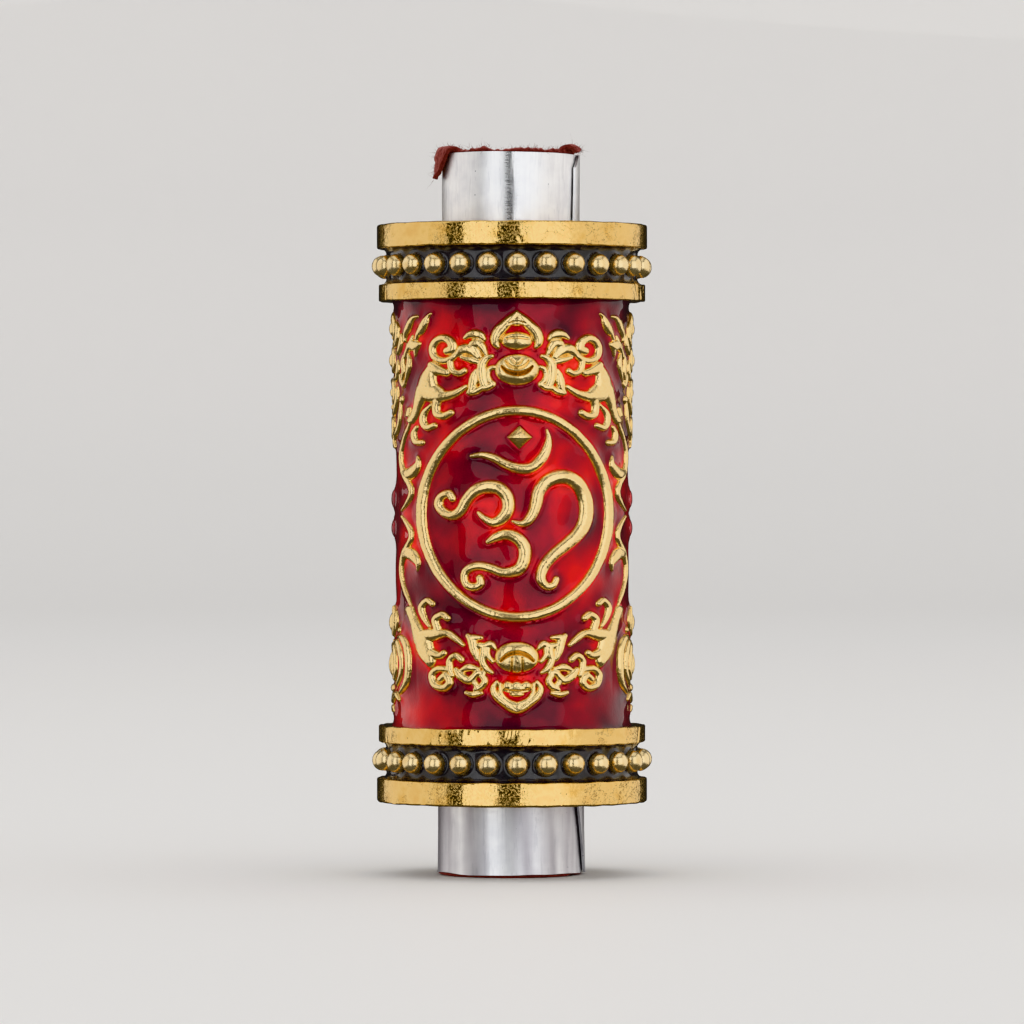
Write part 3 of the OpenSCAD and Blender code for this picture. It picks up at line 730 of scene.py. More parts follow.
LOWER_SCROLL = [
    [[-7.2, -7.45, 0.3], [-7.65, -7.2, 0.35], [-8.1, -7.75, 0.36], [-7.9, -8.6, 0.3], [-7.45, -9.3, 0.12]],
    [[-9.1, -7.95, 0.5], [-8.75, -8.85, 0.5], [-8.4, -9.8, 0.8], [-8.1, -10.4, 1.2]],
    [[-5.95, -8.6, 0.4], [-6.4, -8.35, 0.45], [-6.95, -8.75, 0.46], [-6.75, -9.5, 0.5]],
    [[-8.3, -10.1, 0.8], [-7.2, -10.0, 0.9], [-6.05, -9.85, 0.5], [-5.3, -10.25, 0.4], [-4.6, -10.8, 0.2]],
    [[-8.0, -10.35, 1.2], [-7.75, -11.35, 1.25], [-7.4, -12.1, 0.8], [-7.35, -12.5, 0.3]],
    [[-7.3, -11.5, 0.7], [-6.6, -11.7, 0.5], [-6.25, -11.5, 0.4]],
    [[-4.75, -12.0, 0.4], [-5.25, -11.7, 0.42], [-5.75, -12.1, 0.4], [-5.7, -12.8, 0.4],
     [-5.5, -13.3, 0.3]],
    [[-5.8, -12.85, 0.4], [-6.7, -12.8, 0.42], [-7.25, -13.35, 0.42], [-6.95, -14.15, 0.45],
     [-6.2, -14.35, 0.48], [-5.75, -13.85, 0.48], [-6.1, -13.35, 0.45], [-6.5, -13.65, 0.4]],
]

# Half of the bracket beside the medallion, along the surface from its own middle
BRACKET = [
    [[0.45, 7.6, 0.2], [0.0, 7.0, 0.35], [-0.7, 6.2, 0.42], [-1.25, 5.2, 0.5], [-1.3, 4.3, 0.55],
     [-0.95, 3.55, 0.7], [-0.4, 3.0, 0.7], [0.15, 2.5, 0.55], [0.6, 1.95, 0.62], [0.45, 1.4, 0.55],
     [-0.3, 0.8, 0.35], [-1.3, 0.25, 0.15]],
    [[-0.9, 3.45, 0.6], [0.1, 3.3, 0.95], [1.0, 3.55, 1.0], [1.6, 4.05, 0.65], [1.5, 4.7, 0.12]],
]

# Half of the spray and the lotus on the drum's side, along the surface from the side's middle
SPRAY = [
    [[8.1, 16.85, 0.1], [7.75, 16.6, 0.3], [7.4, 16.1, 0.7], [7.0, 15.6, 0.8], [6.5, 15.2, 0.45],
     [6.25, 14.8, 0.3]],
    [[6.5, 16.65, 0.1], [5.8, 16.55, 0.3], [5.3, 16.15, 0.65], [4.9, 15.7, 0.7], [4.4, 15.2, 0.45],
     [4.3, 14.7, 0.3]],
    [[6.7, 14.35, 0.3], [6.1, 14.2, 0.9], [5.4, 14.3, 0.8], [4.8, 13.9, 0.45], [4.4, 13.4, 0.4]],
    [[6.25, 14.2, 0.7], [6.1, 13.45, 0.2]],
    [[5.4, 14.4, 0.6], [5.7, 15.0, 0.2]],
    [[4.1, 13.4, 0.25], [3.95, 12.8, 0.5], [4.1, 12.2, 0.5], [3.8, 11.5, 0.3]],
    [[4.95, 13.5, 0.2], [5.15, 12.9, 0.55], [4.95, 12.2, 0.5], [4.5, 11.4, 0.15]],
    [[4.35, 11.3, 0.2], [4.05, 11.0, 0.45], [3.55, 11.35, 0.4], [3.3, 11.8, 0.25]],
    [[3.5, 9.5, 0.25], [3.35, 8.7, 0.45], [3.1, 7.9, 0.45], [2.4, 7.2, 0.5], [1.6, 6.9, 0.4],
     [1.3, 6.3, 0.3], [1.7, 5.9, 0.25]],
    [[0, 17.0, 0.25], [0.75, 16.6, 0.6], [1.3, 16.1, 0.65], [1.55, 15.5, 0.5], [1.15, 15.0, 0.3]],
    [[2.1, 16.2, 0.15], [2.55, 15.7, 0.55], [2.5, 15.0, 0.65], [2.0, 14.5, 0.45], [1.5, 14.3, 0.3]],
    [[3.5, 15.2, 0.12], [3.5, 14.6, 0.5], [3.1, 14.0, 0.6], [2.5, 13.7, 0.4]],
    [[0.5, 14.1, 0.3], [1.1, 13.7, 0.5], [1.35, 13.0, 0.55], [1.0, 12.4, 0.4], [0.5, 12.2, 0.3]],
    [[2.6, 13.0, 0.2], [2.75, 12.4, 0.5], [2.4, 11.8, 0.5], [1.8, 11.5, 0.35]],
    [[0, 11.4, 0.5], [0.8, 11.2, 0.5], [1.4, 10.6, 0.5], [1.3, 9.9, 0.4], [0.8, 9.6, 0.3]],
    [[2.6, 10.8, 0.15], [2.5, 10.2, 0.45], [2.2, 9.5, 0.5], [1.6, 8.9, 0.4], [0.9, 8.6, 0.3]],
    [[0.3, 8.3, 0.3], [0.9, 7.9, 0.45], [0.8, 7.2, 0.4], [0.3, 6.7, 0.35]],
]
LOTUS = [
    [[2.6, -10.3, 0.15], [3.5, -10.35, 0.45], [4.5, -10.9, 0.75], [5.0, -12.0, 0.85], [4.95, -13.1, 0.8],
     [4.5, -14.1, 0.65], [3.2, -14.9, 0.25]],
    [[1.6, -10.7, 0.2], [2.5, -10.8, 0.5], [3.4, -11.6, 0.65], [3.7, -12.6, 0.6], [3.3, -13.5, 0.5],
     [2.3, -14.2, 0.3]],
    [[0.3, -10.9, 0.3], [1.2, -11.2, 0.5], [2.0, -12.0, 0.6], [2.1, -13.0, 0.5], [1.4, -13.8, 0.35]],
    [[1.2, -7.9, 0.3], [1.45, -8.6, 0.5], [1.3, -9.5, 0.5], [0.8, -10.1, 0.35]],
    [[2.2, -8.2, 0.12], [2.4, -8.9, 0.4], [2.1, -9.6, 0.3]],
    [[0, -15.7, 0.4], [0.9, -15.5, 0.45], [1.9, -15.1, 0.45], [2.9, -15.5, 0.2]],
    [[0, -16.5, 0.3], [0.6, -16.2, 0.4], [1.2, -16.5, 0.15]],
]


def draw(relief, paths, tall=1.0, wider=0.0):
    """Raises a stroke along each path."""
    for path in paths:
        relief.stroke([[across, up, width + wider] for across, up, width in path], tall)


def both_halves(relief, paths, tall=1.0, wider=0.0):
    """Draws the paths and their mirror images."""
    draw(relief, paths, tall, wider)
    draw(relief, [[[-across, up, width] for across, up, width in path] for path in paths], tall, wider)


# The upper ornament sits this much nearer the medallion than its own coordinates say.
UPPER_DROP = 0.33
RING_WIDTH = 0.72


def upper_crest_relief(face):
    relief = Relief(face, -36, 36, drop=UPPER_DROP)
    both_halves(relief, UPPER_SPADE, 1.05)
    relief.dome(0, 16.2, 0.75, 0.5)
    relief.crease([[-0.7, 15.95, 0.1], [0, 16.15, 0.14]], 0.12)
    both_halves(relief, UPPER_CREST, 0.95, 0.12)
    relief.dome(0, 14.56, 1.42, 0.8)
    relief.crease([[-0.95, 14.75, 0.12], [0, 14.85, 0.18]], 0.16)
    relief.dome(0, 12.19, 2.0, 1.32)
    relief.crease([[-1.3, 12.45, 0.12], [-0.8, 12.02, 0.24], [0, 11.85, 0.3]], 0.6)
    relief.crease([[-1.0, 12.95, 0.12], [-0.6, 12.5, 0.18], [0, 12.3, 0.2]], 0.24)
    relief.crease([[-0.5, 13.1, 0.1], [-0.25, 12.75, 0.14], [0, 12.65, 0.16]], 0.18)
    return relief


def lower_crest_relief(face):
    relief = Relief(face, -36, 36)
    both_halves(relief, LOWER_SPADE)
    relief.dome(0, -15.95, 0.8, 0.42, 0.95)
    both_halves(relief, LOWER_CREST, 0.97, 0.1)
    relief.dome(0, -14.3, 1.45, 0.5, 0.95)
    for across in (-0.8, 0, 0.8):
        relief.dome(across, -14.12, 0.5, 0.44, 1.05)
    relief.dome(0, -14.85, 0.72, 0.24, 0.75)
    relief.crease([[-1.0, -14.5, 0.1], [0, -14.6, 0.14]], 0.2)
    relief.dome(0, -11.8, 1.98, 1.32)
    relief.crease([[-1.4, -12.1, 0.14], [-0.8, -11.62, 0.24], [0, -11.42, 0.28]], 0.5)
    for across in (-0.42, 0.42):
        relief.groove([[across, -11.8, 0.14], [across * 1.15, -12.95, 0.16]], 0.3)
    relief.groove([[0, -12.3, 0.1], [0, -12.9, 0.12]], 0.14)
    return relief


def scroll_relief(face, flip, upper):
    relief = Relief(face, -68, -23, flip=flip, drop=UPPER_DROP if upper else 0)
    draw(relief, UPPER_SCROLL if upper else LOWER_SCROLL, 0.98, 0.07)
    return relief


def medallion(face, side):
    """The ring and the sign, each in its own relief."""
    ring = Relief(face, -60, 60)
    ring.ring(RING_HALF_W, RING_HALF_H - 0.1, RING_WIDTH)
    gold_casting(ring, side + "_medallion_ring")
    sign = Relief(face, -46, 46)
    draw(sign, OM_STROKES)
    gold_casting(sign, side + "_om_syllable")
    crescent = Relief(face, -30, 30)
    crescent.stroke(OM_CRESCENT)
    gold_casting(crescent, side + "_om_crescent")
    jewel = Relief(face, -12, 12)
    jewel.pyramid(0.2, 6.3, 1.2, 1.05, 0.75)
    gold_casting(jewel, side + "_om_jewel")


def side_ornament(face, side):
    spray = Relief(face, -50, 50, wrapped=True, drop=UPPER_DROP)
    both_halves(spray, SPRAY, 0.95)
    for across in (-3.7, 3.7):
        spray.dome(across, 9.8, 0.36, 0.36, 0.9)
    spray.dome(0, 15.75, 0.62, 0.72)
    spray.dome(0, 13.1, 0.62, 0.75)
    spray.dome(0, 10.4, 0.5, 0.55, 0.9)
    spray.dome(0, 9.2, 0.36, 0.36, 0.9)
    for across in (-5.9, 5.9):
        spray.dome(across, 14.3, 0.42, 0.36, 1.05)
    gold_casting(spray, side + "_spray")
    lotus = Relief(face, -32, 32, wrapped=True)
    both_halves(lotus, LOTUS, 0.95)
    lotus.dome(0, -12.6, 1.05, 1.25)
    lotus.dome(0, -9.1, 0.7, 0.95, 0.95)
    lotus.dome(0, -14.6, 0.9, 0.42, 0.85)
    for across in (-3.1, 3.1):
        lotus.dome(across, -9.7, 0.3, 0.3, 0.8)
    for across in (-0.45, 0.45):
        lotus.groove([[across * 0.6, -11.7, 0.1], [across, -12.6, 0.16], [across * 0.6, -13.5, 0.1]], 0.2)
    gold_casting(lotus, side + "_lotus")
    jewels = Relief(face, -10, 10, wrapped=True)
    for up in (-1.2, 1.2):
        jewels.dome(0, up, 0.95, 0.85, 0.62)
    finish_piece(jewels.solid(side + "_jewel_domes"), "drum", RED, "red_enamel", side + "_side_jewels")


def bracket(face, flip, node):
    relief = Relief(face - 63 * flip, -11, 13, wrapped=True, flip=flip)
    draw(relief, BRACKET, 0.9)
    draw(relief, [[[across, -up, width] for across, up, width in path] for path in BRACKET], 0.9)
    gold_casting(relief, node)


for face, side in ((0, "front"), (180, "back")):
    medallion(face, side)
    gold_casting(upper_crest_relief(face), side + "_upper_crest")
    gold_casting(lower_crest_relief(face), side + "_lower_crest")
    for flip, hand in ((1, "left"), (-1, "right")):
        gold_casting(scroll_relief(face, flip, True), f"{side}_{hand}_upper_scrollwork")
        gold_casting(scroll_relief(face, flip, False), f"{side}_{hand}_lower_scrollwork")
        bracket(face, flip, f"{side}_{hand}_bracket")
side_ornament(-90, "left")
side_ornament(90, "right")


# ---- Red enamel ---------------------------------------------------------

def nearby_gold(away, reach):
    """Share of the neighbourhood that is covered by gold, within reach samples each way."""
    share = (away < 0).astype(float)
    for axis in (0, 1):
        share = sum(np.roll(share, step, axis) for step in range(-reach, reach + 1)) / (2 * reach + 1)
    return share


# How far the enamel climbs where it meets gold, in mm
WET = 0.17


def enamel_skin():
    """The pooled enamel, which climbs a little where it wets gold."""
    skip = 2
    away = shore[::skip, ::skip]
    up = UP[::skip]
    angles = np.arange(0, COLUMNS, skip) * STEP_ANGLE
    outside = np.maximum(away, 0)
    climb = np.where(away > 0, WET * np.exp(-outside / 0.34), np.maximum(WET + 1.2 * away, -0.2))
    to_rim = PANEL_HALF - np.abs(up)
    climb = climb + (0.3 * np.exp(-to_rim / 0.4))[:, None]
    wave = wrapped_ripple(angles[None, :], up[:, None], ENAMEL_R, 2.4, 11) * 0.05
    outer = ENAMEL_R + climb + wave - 0.03
    # Painted light: the enamel is painted brighter where strokes of gold lie close together, painted shade
    # darkens it just beside the gold, and painted shade from the rims darkens the panel's ends.
    painted_light_and_shade = 0.42 * np.clip((nearby_gold(away, 6) - 0.3) / 0.35, 0, 1) - 0.16 * np.exp(-outside / 0.22)
    painted_light_and_shade -= (0.65 * np.exp((up - PANEL_HALF) / 1.0) + 0.2 * np.exp(-(up + PANEL_HALF) / 0.5))[:, None]
    section = np.concatenate([outer, np.full(outer.shape, SHELL_R)])
    heights = level_rows(np.concatenate([up, up[::-1]]), len(angles)) + PANEL_MID
    skin = lathe("red_enamel_skin", section, heights, angles,
                 {"painted_light_and_shade": np.concatenate([painted_light_and_shade, painted_light_and_shade[::-1]]).ravel()})
    sharpen(skin, 50)
    finish_piece(skin, "drum", RED, "red_enamel", "red_enamel")


enamel_skin()


# ---- Rims ---------------------------------------------------------------

CAP_COLUMNS = 540
cap_angles = full_turn(CAP_COLUMNS)
BAND_R = high("top_cap").x
HUB_R = high("upper_bush").x
CHANNEL_LOW = low("bottom_channel_enamel").z - DRUM_LOW
CHANNEL_HIGH = high("bottom_channel_enamel").z - DRUM_LOW
CAP_DEEP = high("bottom_cap").z - DRUM_LOW
DARK_R = high("top_channel_enamel").x
BEAD_D = high("top_beads").z - low("top_beads").z
BEAD_RING_R = -low("top_beads").y - BEAD_D / 2
FLOOR_R = BEAD_RING_R - BEAD_D / 2
INNER_BAND_R = BAND_R - 0.15
BEADS = 28


def cap(name, node, from_z, sign, seed):
    """A rim casting: two bands with a channel between them, and a hub for the bush."""
    corners = [
        [HUB_R, 0, 0.15], [BAND_R, 0, 0.22], [BAND_R, CHANNEL_LOW, 0.16], [FLOOR_R, CHANNEL_LOW, 0.05],
        [FLOOR_R, CHANNEL_HIGH, 0.05], [INNER_BAND_R, CHANNEL_HIGH, 0.14], [INNER_BAND_R, CAP_DEEP, 0.14],
        [SHELL_R, CAP_DEEP, 0.03], [SHELL_R, CHANNEL_LOW, 0.03], [HUB_R + 1, CHANNEL_LOW, 0.1],
        [HUB_R + 1, CHANNEL_LOW + 1.2, 0.1], [HUB_R, CHANNEL_LOW + 1.2, 0.1],
    ]
    section = rounded_section(corners, 0.16)
    r = level_rows(section[:, 0], CAP_COLUMNS)
    z = level_rows(section[:, 1], CAP_COLUMNS)
    outside = r > FLOOR_R + 0.3
    surface = cap_angles[None, :], z, BAND_R
    wave = wrapped_ripple(*surface, 2.6, seed) * 0.008
    dents = np.maximum(wrapped_ripple(*surface, 0.55, seed + 1) - 1.25, 0) * -0.06
    r = r + np.where(outside, wave + dents, 0)
    lip = outside & ((z < 0.12) | (z > CHANNEL_LOW - 0.12))
    nicks = np.maximum(wrapped_ripple(cap_angles[None, :], z * 0.5, BAND_R, 0.4, seed + 2) - 0.55, 0)
    z = z + np.where(lip, wrapped_ripple(*surface, 1.5, seed + 3) * 0.025, 0)
    r = r - np.where(lip, nicks * 0.08, 0)
    piece = lathe(name, r, from_z + sign * z, cap_angles)
    if sign < 0:
        piece.data.flip_normals()
    sharpen(piece, 35)
    finish_piece(piece, "drum", POLISHED, "polished_gold", node)


cap("top_rim", "top_cap", DRUM_HIGH, -1, 21)
cap("bottom_rim", "bottom_cap", DRUM_LOW, 1, 31)


def channel_enamel(name, node, seed):
    """Dark enamel poured round the beads, creeping up them and the channel's walls."""
    columns, rows = 1120, 34
    angles = full_turn(columns)
    bottom, top = low(node).z, high(node).z
    z = np.linspace(bottom, top, rows)
    mid = (bottom + top) / 2
    pitch = TURN / BEADS
    nearest = (angles + pitch / 2) % pitch - pitch / 2
    waist = math.sqrt(max((BEAD_D / 2) ** 2 - (BEAD_RING_R - DARK_R) ** 2, 0.01))
    off = np.hypot(nearest[None, :] * DARK_R, (z - mid)[:, None]) - waist
    creep = np.where(off > 0, 0.2 * np.exp(-np.maximum(off, 0) / 0.12),
                     np.maximum(0.2 + 2.5 * off, -0.25))
    to_wall = np.minimum(z - bottom, top - z)
    creep = creep + (0.42 * np.exp(-to_wall / 0.22))[:, None]
    wave = wrapped_ripple(angles[None, :], z[:, None], DARK_R, 1.2, seed) * 0.03
    outer = DARK_R - 0.08 + creep + wave
    section = np.concatenate([outer, np.full(outer.shape, FLOOR_R)])
    ring = lathe(name, section, level_rows(np.concatenate([z, z[::-1]]), columns), angles)
    sharpen(ring, 60)
    finish_piece(ring, "drum", CHARCOAL, "charcoal_enamel", node)


channel_enamel("top_dark_enamel", "top_channel_enamel", 41)
channel_enamel("bottom_dark_enamel", "bottom_channel_enamel", 42)


def ball(level):
    """Points and triangles of a round ball of radius 1, from an icosahedron."""
    shape = bmesh.new()
    bmesh.ops.create_icosphere(shape, subdivisions=level, radius=1.0)
    points = np.array([v.co[:] for v in shape.verts])
    triangles = np.array([[v.index for v in f.verts] for f in shape.faces])
    shape.free()
    return points, triangles


def bead_row(name, node, seed):
    """Cast beads, each a little different in size, place and roundness."""
    rng = np.random.default_rng(seed)
    points, triangles = ball(4)
    mid = (low(node).z + high(node).z) / 2
    vertices, faces = [], []
    for k in range(BEADS):
        angle = TURN * k / BEADS + rng.normal(0, 0.0025)
        size = BEAD_D / 2 * rng.uniform(0.955, 1.0)
        uneven = ripple(points[:, :1] * 2 + k, points[:, 1:2] * 2, 0.8, seed + k)
        shape = points * (size * (1 + 0.012 * uneven))
        radius = BEAD_RING_R - 0.02 + rng.normal(0, 0.015)
        centre = [radius * math.sin(angle), -radius * math.cos(angle), mid + rng.normal(0, 0.03)]
        vertices.append(shape + centre)
        faces.append(triangles + k * len(points))
    row = mesh_object(name, np.concatenate(vertices), np.concatenate(faces))
    finish_piece(row, "drum", BEAD_GOLD, "polished_gold", node)


bead_row("top_bead_row", "top_beads", 51)
bead_row("bottom_bead_row", "bottom_beads", 52)


# ---- Rolled sleeve ------------------------------------------------------

SHEET_T = 0.2
LAP = math.radians(48)
HEAD_R = 5.65
FOOT_R = 6.0
MID_R = 5.6
OFF_CENTRE = 0.2


def free_edge(z):
    """Azimuth of the sheet's free edge: it runs at a slant down the foot."""
    return np.radians(np.interp(z, [0, DRUM_LOW, DRUM_HIGH, SLEEVE_TOP], [79, 61, 62, 64]))


def sleeve_radius(z, angle):
    """Outer radius of the sheet: wide at the foot and the head, narrow and centred in the drum."""
    heights = [0, DRUM_LOW - 0.15, DRUM_LOW + 0.45, DRUM_HIGH - 0.45, DRUM_HIGH + 0.15, SLEEVE_TOP]
    radii = [FOOT_R, FOOT_R, MID_R, MID_R, HEAD_R, HEAD_R]
    seen = np.interp(z, heights, [1, 1, 0, 0, 1, 1])
    return np.interp(z, heights, radii) - seen * OFF_CENTRE * np.sin(angle)


def eased(value, start, end):
    """0 before start, 1 after end and an easy curve between."""
    t = np.clip((value - start) / (end - start), 0, 1)
    return t * t * (3 - 2 * t)


def closed_sheet(name, outer, inner, attributes):
    """A closed solid from two grids of points, rows by columns, that share their edges' order."""
    rows, columns = outer.shape[:2]
    count = rows * columns
    skin = grid_faces(rows, columns, False)
    faces = [skin[:, ::-1], skin + count]
    bottom = np.arange(columns - 1)
    top = (rows - 1) * columns + bottom
    left = np.arange(rows - 1) * columns
    right = left + columns - 1
    faces.append(np.stack([top, top + 1, top + 1 + count, top + count], -1))
    faces.append(np.stack([bottom, bottom + count, bottom + 1 + count, bottom + 1], -1))
    faces.append(np.stack([left, left + columns, left + columns + count, left + count], -1))
    faces.append(np.stack([right, right + count, right + columns + count, right + columns], -1))
    return mesh_object(name, np.concatenate([outer.reshape(-1, 3), inner.reshape(-1, 3)]),
                       np.concatenate(faces), attributes)


def rolled_sleeve():
    """One sheet rolled a full turn and a lap more, with its free edge standing off."""
    columns = 560
    sweep = np.linspace(0, TURN + LAP, columns)[None, :]
    levels = np.concatenate([np.linspace(0, DRUM_LOW + 0.6, 50),
                             np.linspace(DRUM_LOW + 1.5, DRUM_HIGH - 1.5, 20),
                             np.linspace(DRUM_HIGH - 0.6, SLEEVE_TOP, 50)])[:, None]
    angles = free_edge(levels) + LAP - sweep
    seen = ((levels < DRUM_LOW) | (levels > DRUM_HIGH)).astype(float)
    over = eased(sweep, TURN - math.radians(40), TURN)
    flare = eased(sweep, TURN + LAP - math.radians(30), TURN + LAP) ** 1.4
    stand = np.where(levels > DRUM_HIGH, 0.1, 0.12)
    outer = sleeve_radius(levels, angles) + seen * (over * (SHEET_T + 0.02) + flare * stand)
    outer = outer + ripple(levels * 0.8, sweep * HEAD_R, 3.2, 61) * 0.022 * seen
    outer = outer + 0.07 * np.exp(-levels / 0.3)
    corner = eased(sweep, TURN + LAP - math.radians(16), TURN + LAP) ** 2
    tilt = 0.14 * np.cos(angles[-1:] + 0.9)
    head = SLEEVE_TOP - 0.16 + ripple(sweep * 6, 0, 4.0, 62) * 0.03 - corner * 1.1 + tilt * 0.5
    foot = 0.26 + ripple(sweep * 6, 0, 3.0, 63) * 0.07
    z = np.clip(levels + 0 * sweep, foot, head)
    radii = np.stack([outer, outer - SHEET_T])
    points = np.stack([radii * np.sin(angles), -radii * np.cos(angles), np.stack([z, z])], -1)
    off_front = (np.degrees(angles) + 182) % 360 - 180
    rubbed = np.exp(-(off_front / 8) ** 2) * (levels > DRUM_HIGH - 1)
    # Marks the foot, which the material makes darker in long streaks.
    darker_foot = (levels < DRUM_LOW) + 0 * angles
    sheet = closed_sheet("rolled_sheet_sleeve", points[0], points[1],
                         {"rubbed": np.tile(rubbed.ravel(), 2), "darker_foot": np.tile(darker_foot.ravel(), 2)})
    sharpen(sheet, 40)
    finish_piece(sheet, "core", ALUMINIUM, "aluminium_sheet", "core_sleeve")


rolled_sleeve()


# ---- Mantra roll --------------------------------------------------------

PAPER_R = high("mantra_scroll").x
ROD_R = high("scroll_rod").x
CLOTH_T = 0.42
THREAD_R = 0.2


def mantra_roll():
    """The rolled paper, whose turns show at its ends as a spiral step."""
    columns, rings, turns = 360, 40, 13
    angles = full_turn(columns)
    bottom, top = low("mantra_scroll").z, high("mantra_scroll").z
    radii = np.linspace(ROD_R, PAPER_R, rings * 2)
    pitch = (PAPER_R - ROD_R) / turns
    phase = ((radii[:, None] - ROD_R) / pitch - angles[None, :] / TURN) % 1.0
    step = 0.22 * np.where(phase < 0.75, 0.0, 1.0) + 0.3 * np.abs(radii[:, None] - ROD_R) / PAPER_R
    heights = np.concatenate([bottom + step, (top - step)[::-1]])
    section = level_rows(np.concatenate([radii, radii[::-1]]), columns)
    roll = lathe("rolled_paper", section, heights, angles)
    sharpen(roll, 30)
    finish_piece(roll, "scroll", PAPER, "mantra_paper", "mantra_scroll")


def rod():
    """A turned rod with rounded ends."""
    bottom, top = low("scroll_rod").z, high("scroll_rod").z
    levels = [(0.02, 0), (ROD_R * 0.6, 0.02), (ROD_R * 0.93, 0.15), (ROD_R * 0.985, 0.4)]
    columns = 64
    angles = full_turn(columns)
    line = [(r, bottom + z) for r, z in levels]
    line += [(ROD_R * 0.985, bottom + (top - bottom) * k / 12) for k in range(1, 12)]
    line += [(r, top - z) for r, z in reversed(levels)]
    line = np.array(line)
    uneven = ripple(line[:, 1:] * 0.5, angles[None, :], 2.0, 71) * 0.012
    r = np.maximum(level_rows(line[:, 0], columns) + uneven, 0.02)
    piece = lathe("turned_rod", r, level_rows(line[:, 1], columns), angles)
    finish_piece(piece, "scroll", WOOD, "rod_wood", "scroll_rod")


def wrapped(angle, middle, reach):
    """1 at the middle angle and 0 beyond reach, both in degrees."""
    off = (np.degrees(angle) - middle + 180) % 360 - 180
    t = np.clip(1 - np.abs(off) / reach, 0, 1)
    return t * t * (3 - 2 * t)


def cloth_line(angles):
    """How far the cloth reaches past the sleeve's mouth, in mm, round the mouth."""
    ragged = ripple(angles * 6, 0, 1.3, 81) * 0.08 + ripple(angles * 6, 0, 0.5, 82) * 0.05
    return 0.2 + ragged + 3.1 * wrapped(angles, -82, 30) + 1.15 * wrapped(angles, 67, 20)


CLOTH_OVER_R = 0.36
# The cloth keeps this far off the floor.
FLOOR_GAP = 0.02


def cloth_point(beyond, angles, stand):
    """Radius and height of the cloth's middle at a distance past the mouth."""
    level = np.full(np.shape(angles), SLEEVE_TOP)
    mouth_r = sleeve_radius(level, angles) - SHEET_T - CLOTH_T / 2 - 0.03
    turned = np.clip(beyond / CLOTH_OVER_R, 0, math.pi)
    r = mouth_r + CLOTH_OVER_R * (1 - np.cos(turned))
    past = np.maximum(beyond - math.pi * CLOTH_OVER_R, 0)
    below = np.minimum(beyond, 0)
    z = SLEEVE_TOP - 0.08 + stand + CLOTH_OVER_R * np.sin(turned) - past + below
    return r + past * 0.13, z


def cloth_wrap():
    """The cloth round the roll, which lines the sleeve and folds over its mouth."""
    columns, rows, hem_rows = 420, 130, 46
    angles = full_turn(columns)
    reach = cloth_line(angles)
    stand = 0.22 * wrapped(angles, 66, 24) + 0.1 * wrapped(angles, -84, 30)
    stand = stand + ripple(angles * 6, 0, 2.0, 83) * 0.04
    body = level_rows(np.linspace(-(SLEEVE_TOP - 0.06), -0.2, rows), columns)
    t = np.linspace(0, 1, hem_rows)[:, None]
    hem = -0.2 + (reach + 0.2)[None, :] * t
    beyond = np.concatenate([body, hem])
    r, z = cloth_point(beyond, angles[None, :], stand[None, :])
    tight = np.clip((z - DRUM_HIGH) / 3, 0, 1) + np.clip((DRUM_LOW - z) / 3, 0, 1)
    inside = 1 - np.clip(tight, 0, 1)
    r = r - inside * (0.3 - OFF_CENTRE * np.sin(angles)[None, :])
    for thread in ("upper_binding_thread", "lower_binding_thread"):
        r = r - 0.3 * np.exp(-((z - low(thread).z - THREAD_R) / 0.8) ** 2)
    spread = np.clip((0.5 - z) / 0.5, 0, 1) * 0.3 + np.clip((DRUM_LOW - z) / 3, 0, 1) * (FOOT_R - HEAD_R)
    r = r + spread
    folds = ripple(angles[None, :] * 6, z * 0.35, 1.7, 84) * 0.05 * np.clip(1 - np.abs(beyond) / 8, 0, 1)
    outside = np.clip(beyond / 2, 0, 1)
    r = r + folds * (0.3 + outside)
    r = r + np.maximum(ripple(angles[None, :] * 6, z, 1.1, 85), 0) * 0.16 * outside
    soft = ripple(angles[None, :] * 6, beyond, 0.28, 86) * 0.03
    half = CLOTH_T / 2 * (0.85 + 0.15 * ripple(angles[None, :] * 6, beyond, 0.6, 87))
    across = np.gradient(r, axis=0)
    along = np.gradient(z, axis=0)
    length = np.maximum(np.hypot(across, along), 1e-6)
    normal_r, normal_z = along / length, -across / length
    stand_off = half + soft
    section = np.concatenate([r + normal_r * stand_off, (r - normal_r * stand_off)[::-1]])
    heights = np.concatenate([z + normal_z * stand_off, (z - normal_z * stand_off)[::-1]])
    cloth = lathe("cloth_wrap", section, np.maximum(heights, FLOOR_GAP), angles)
    finish_piece(cloth, "scroll", CLOTH, "maroon_cloth", "scroll_cloth")
    return cloth, (angles, r, z, beyond)


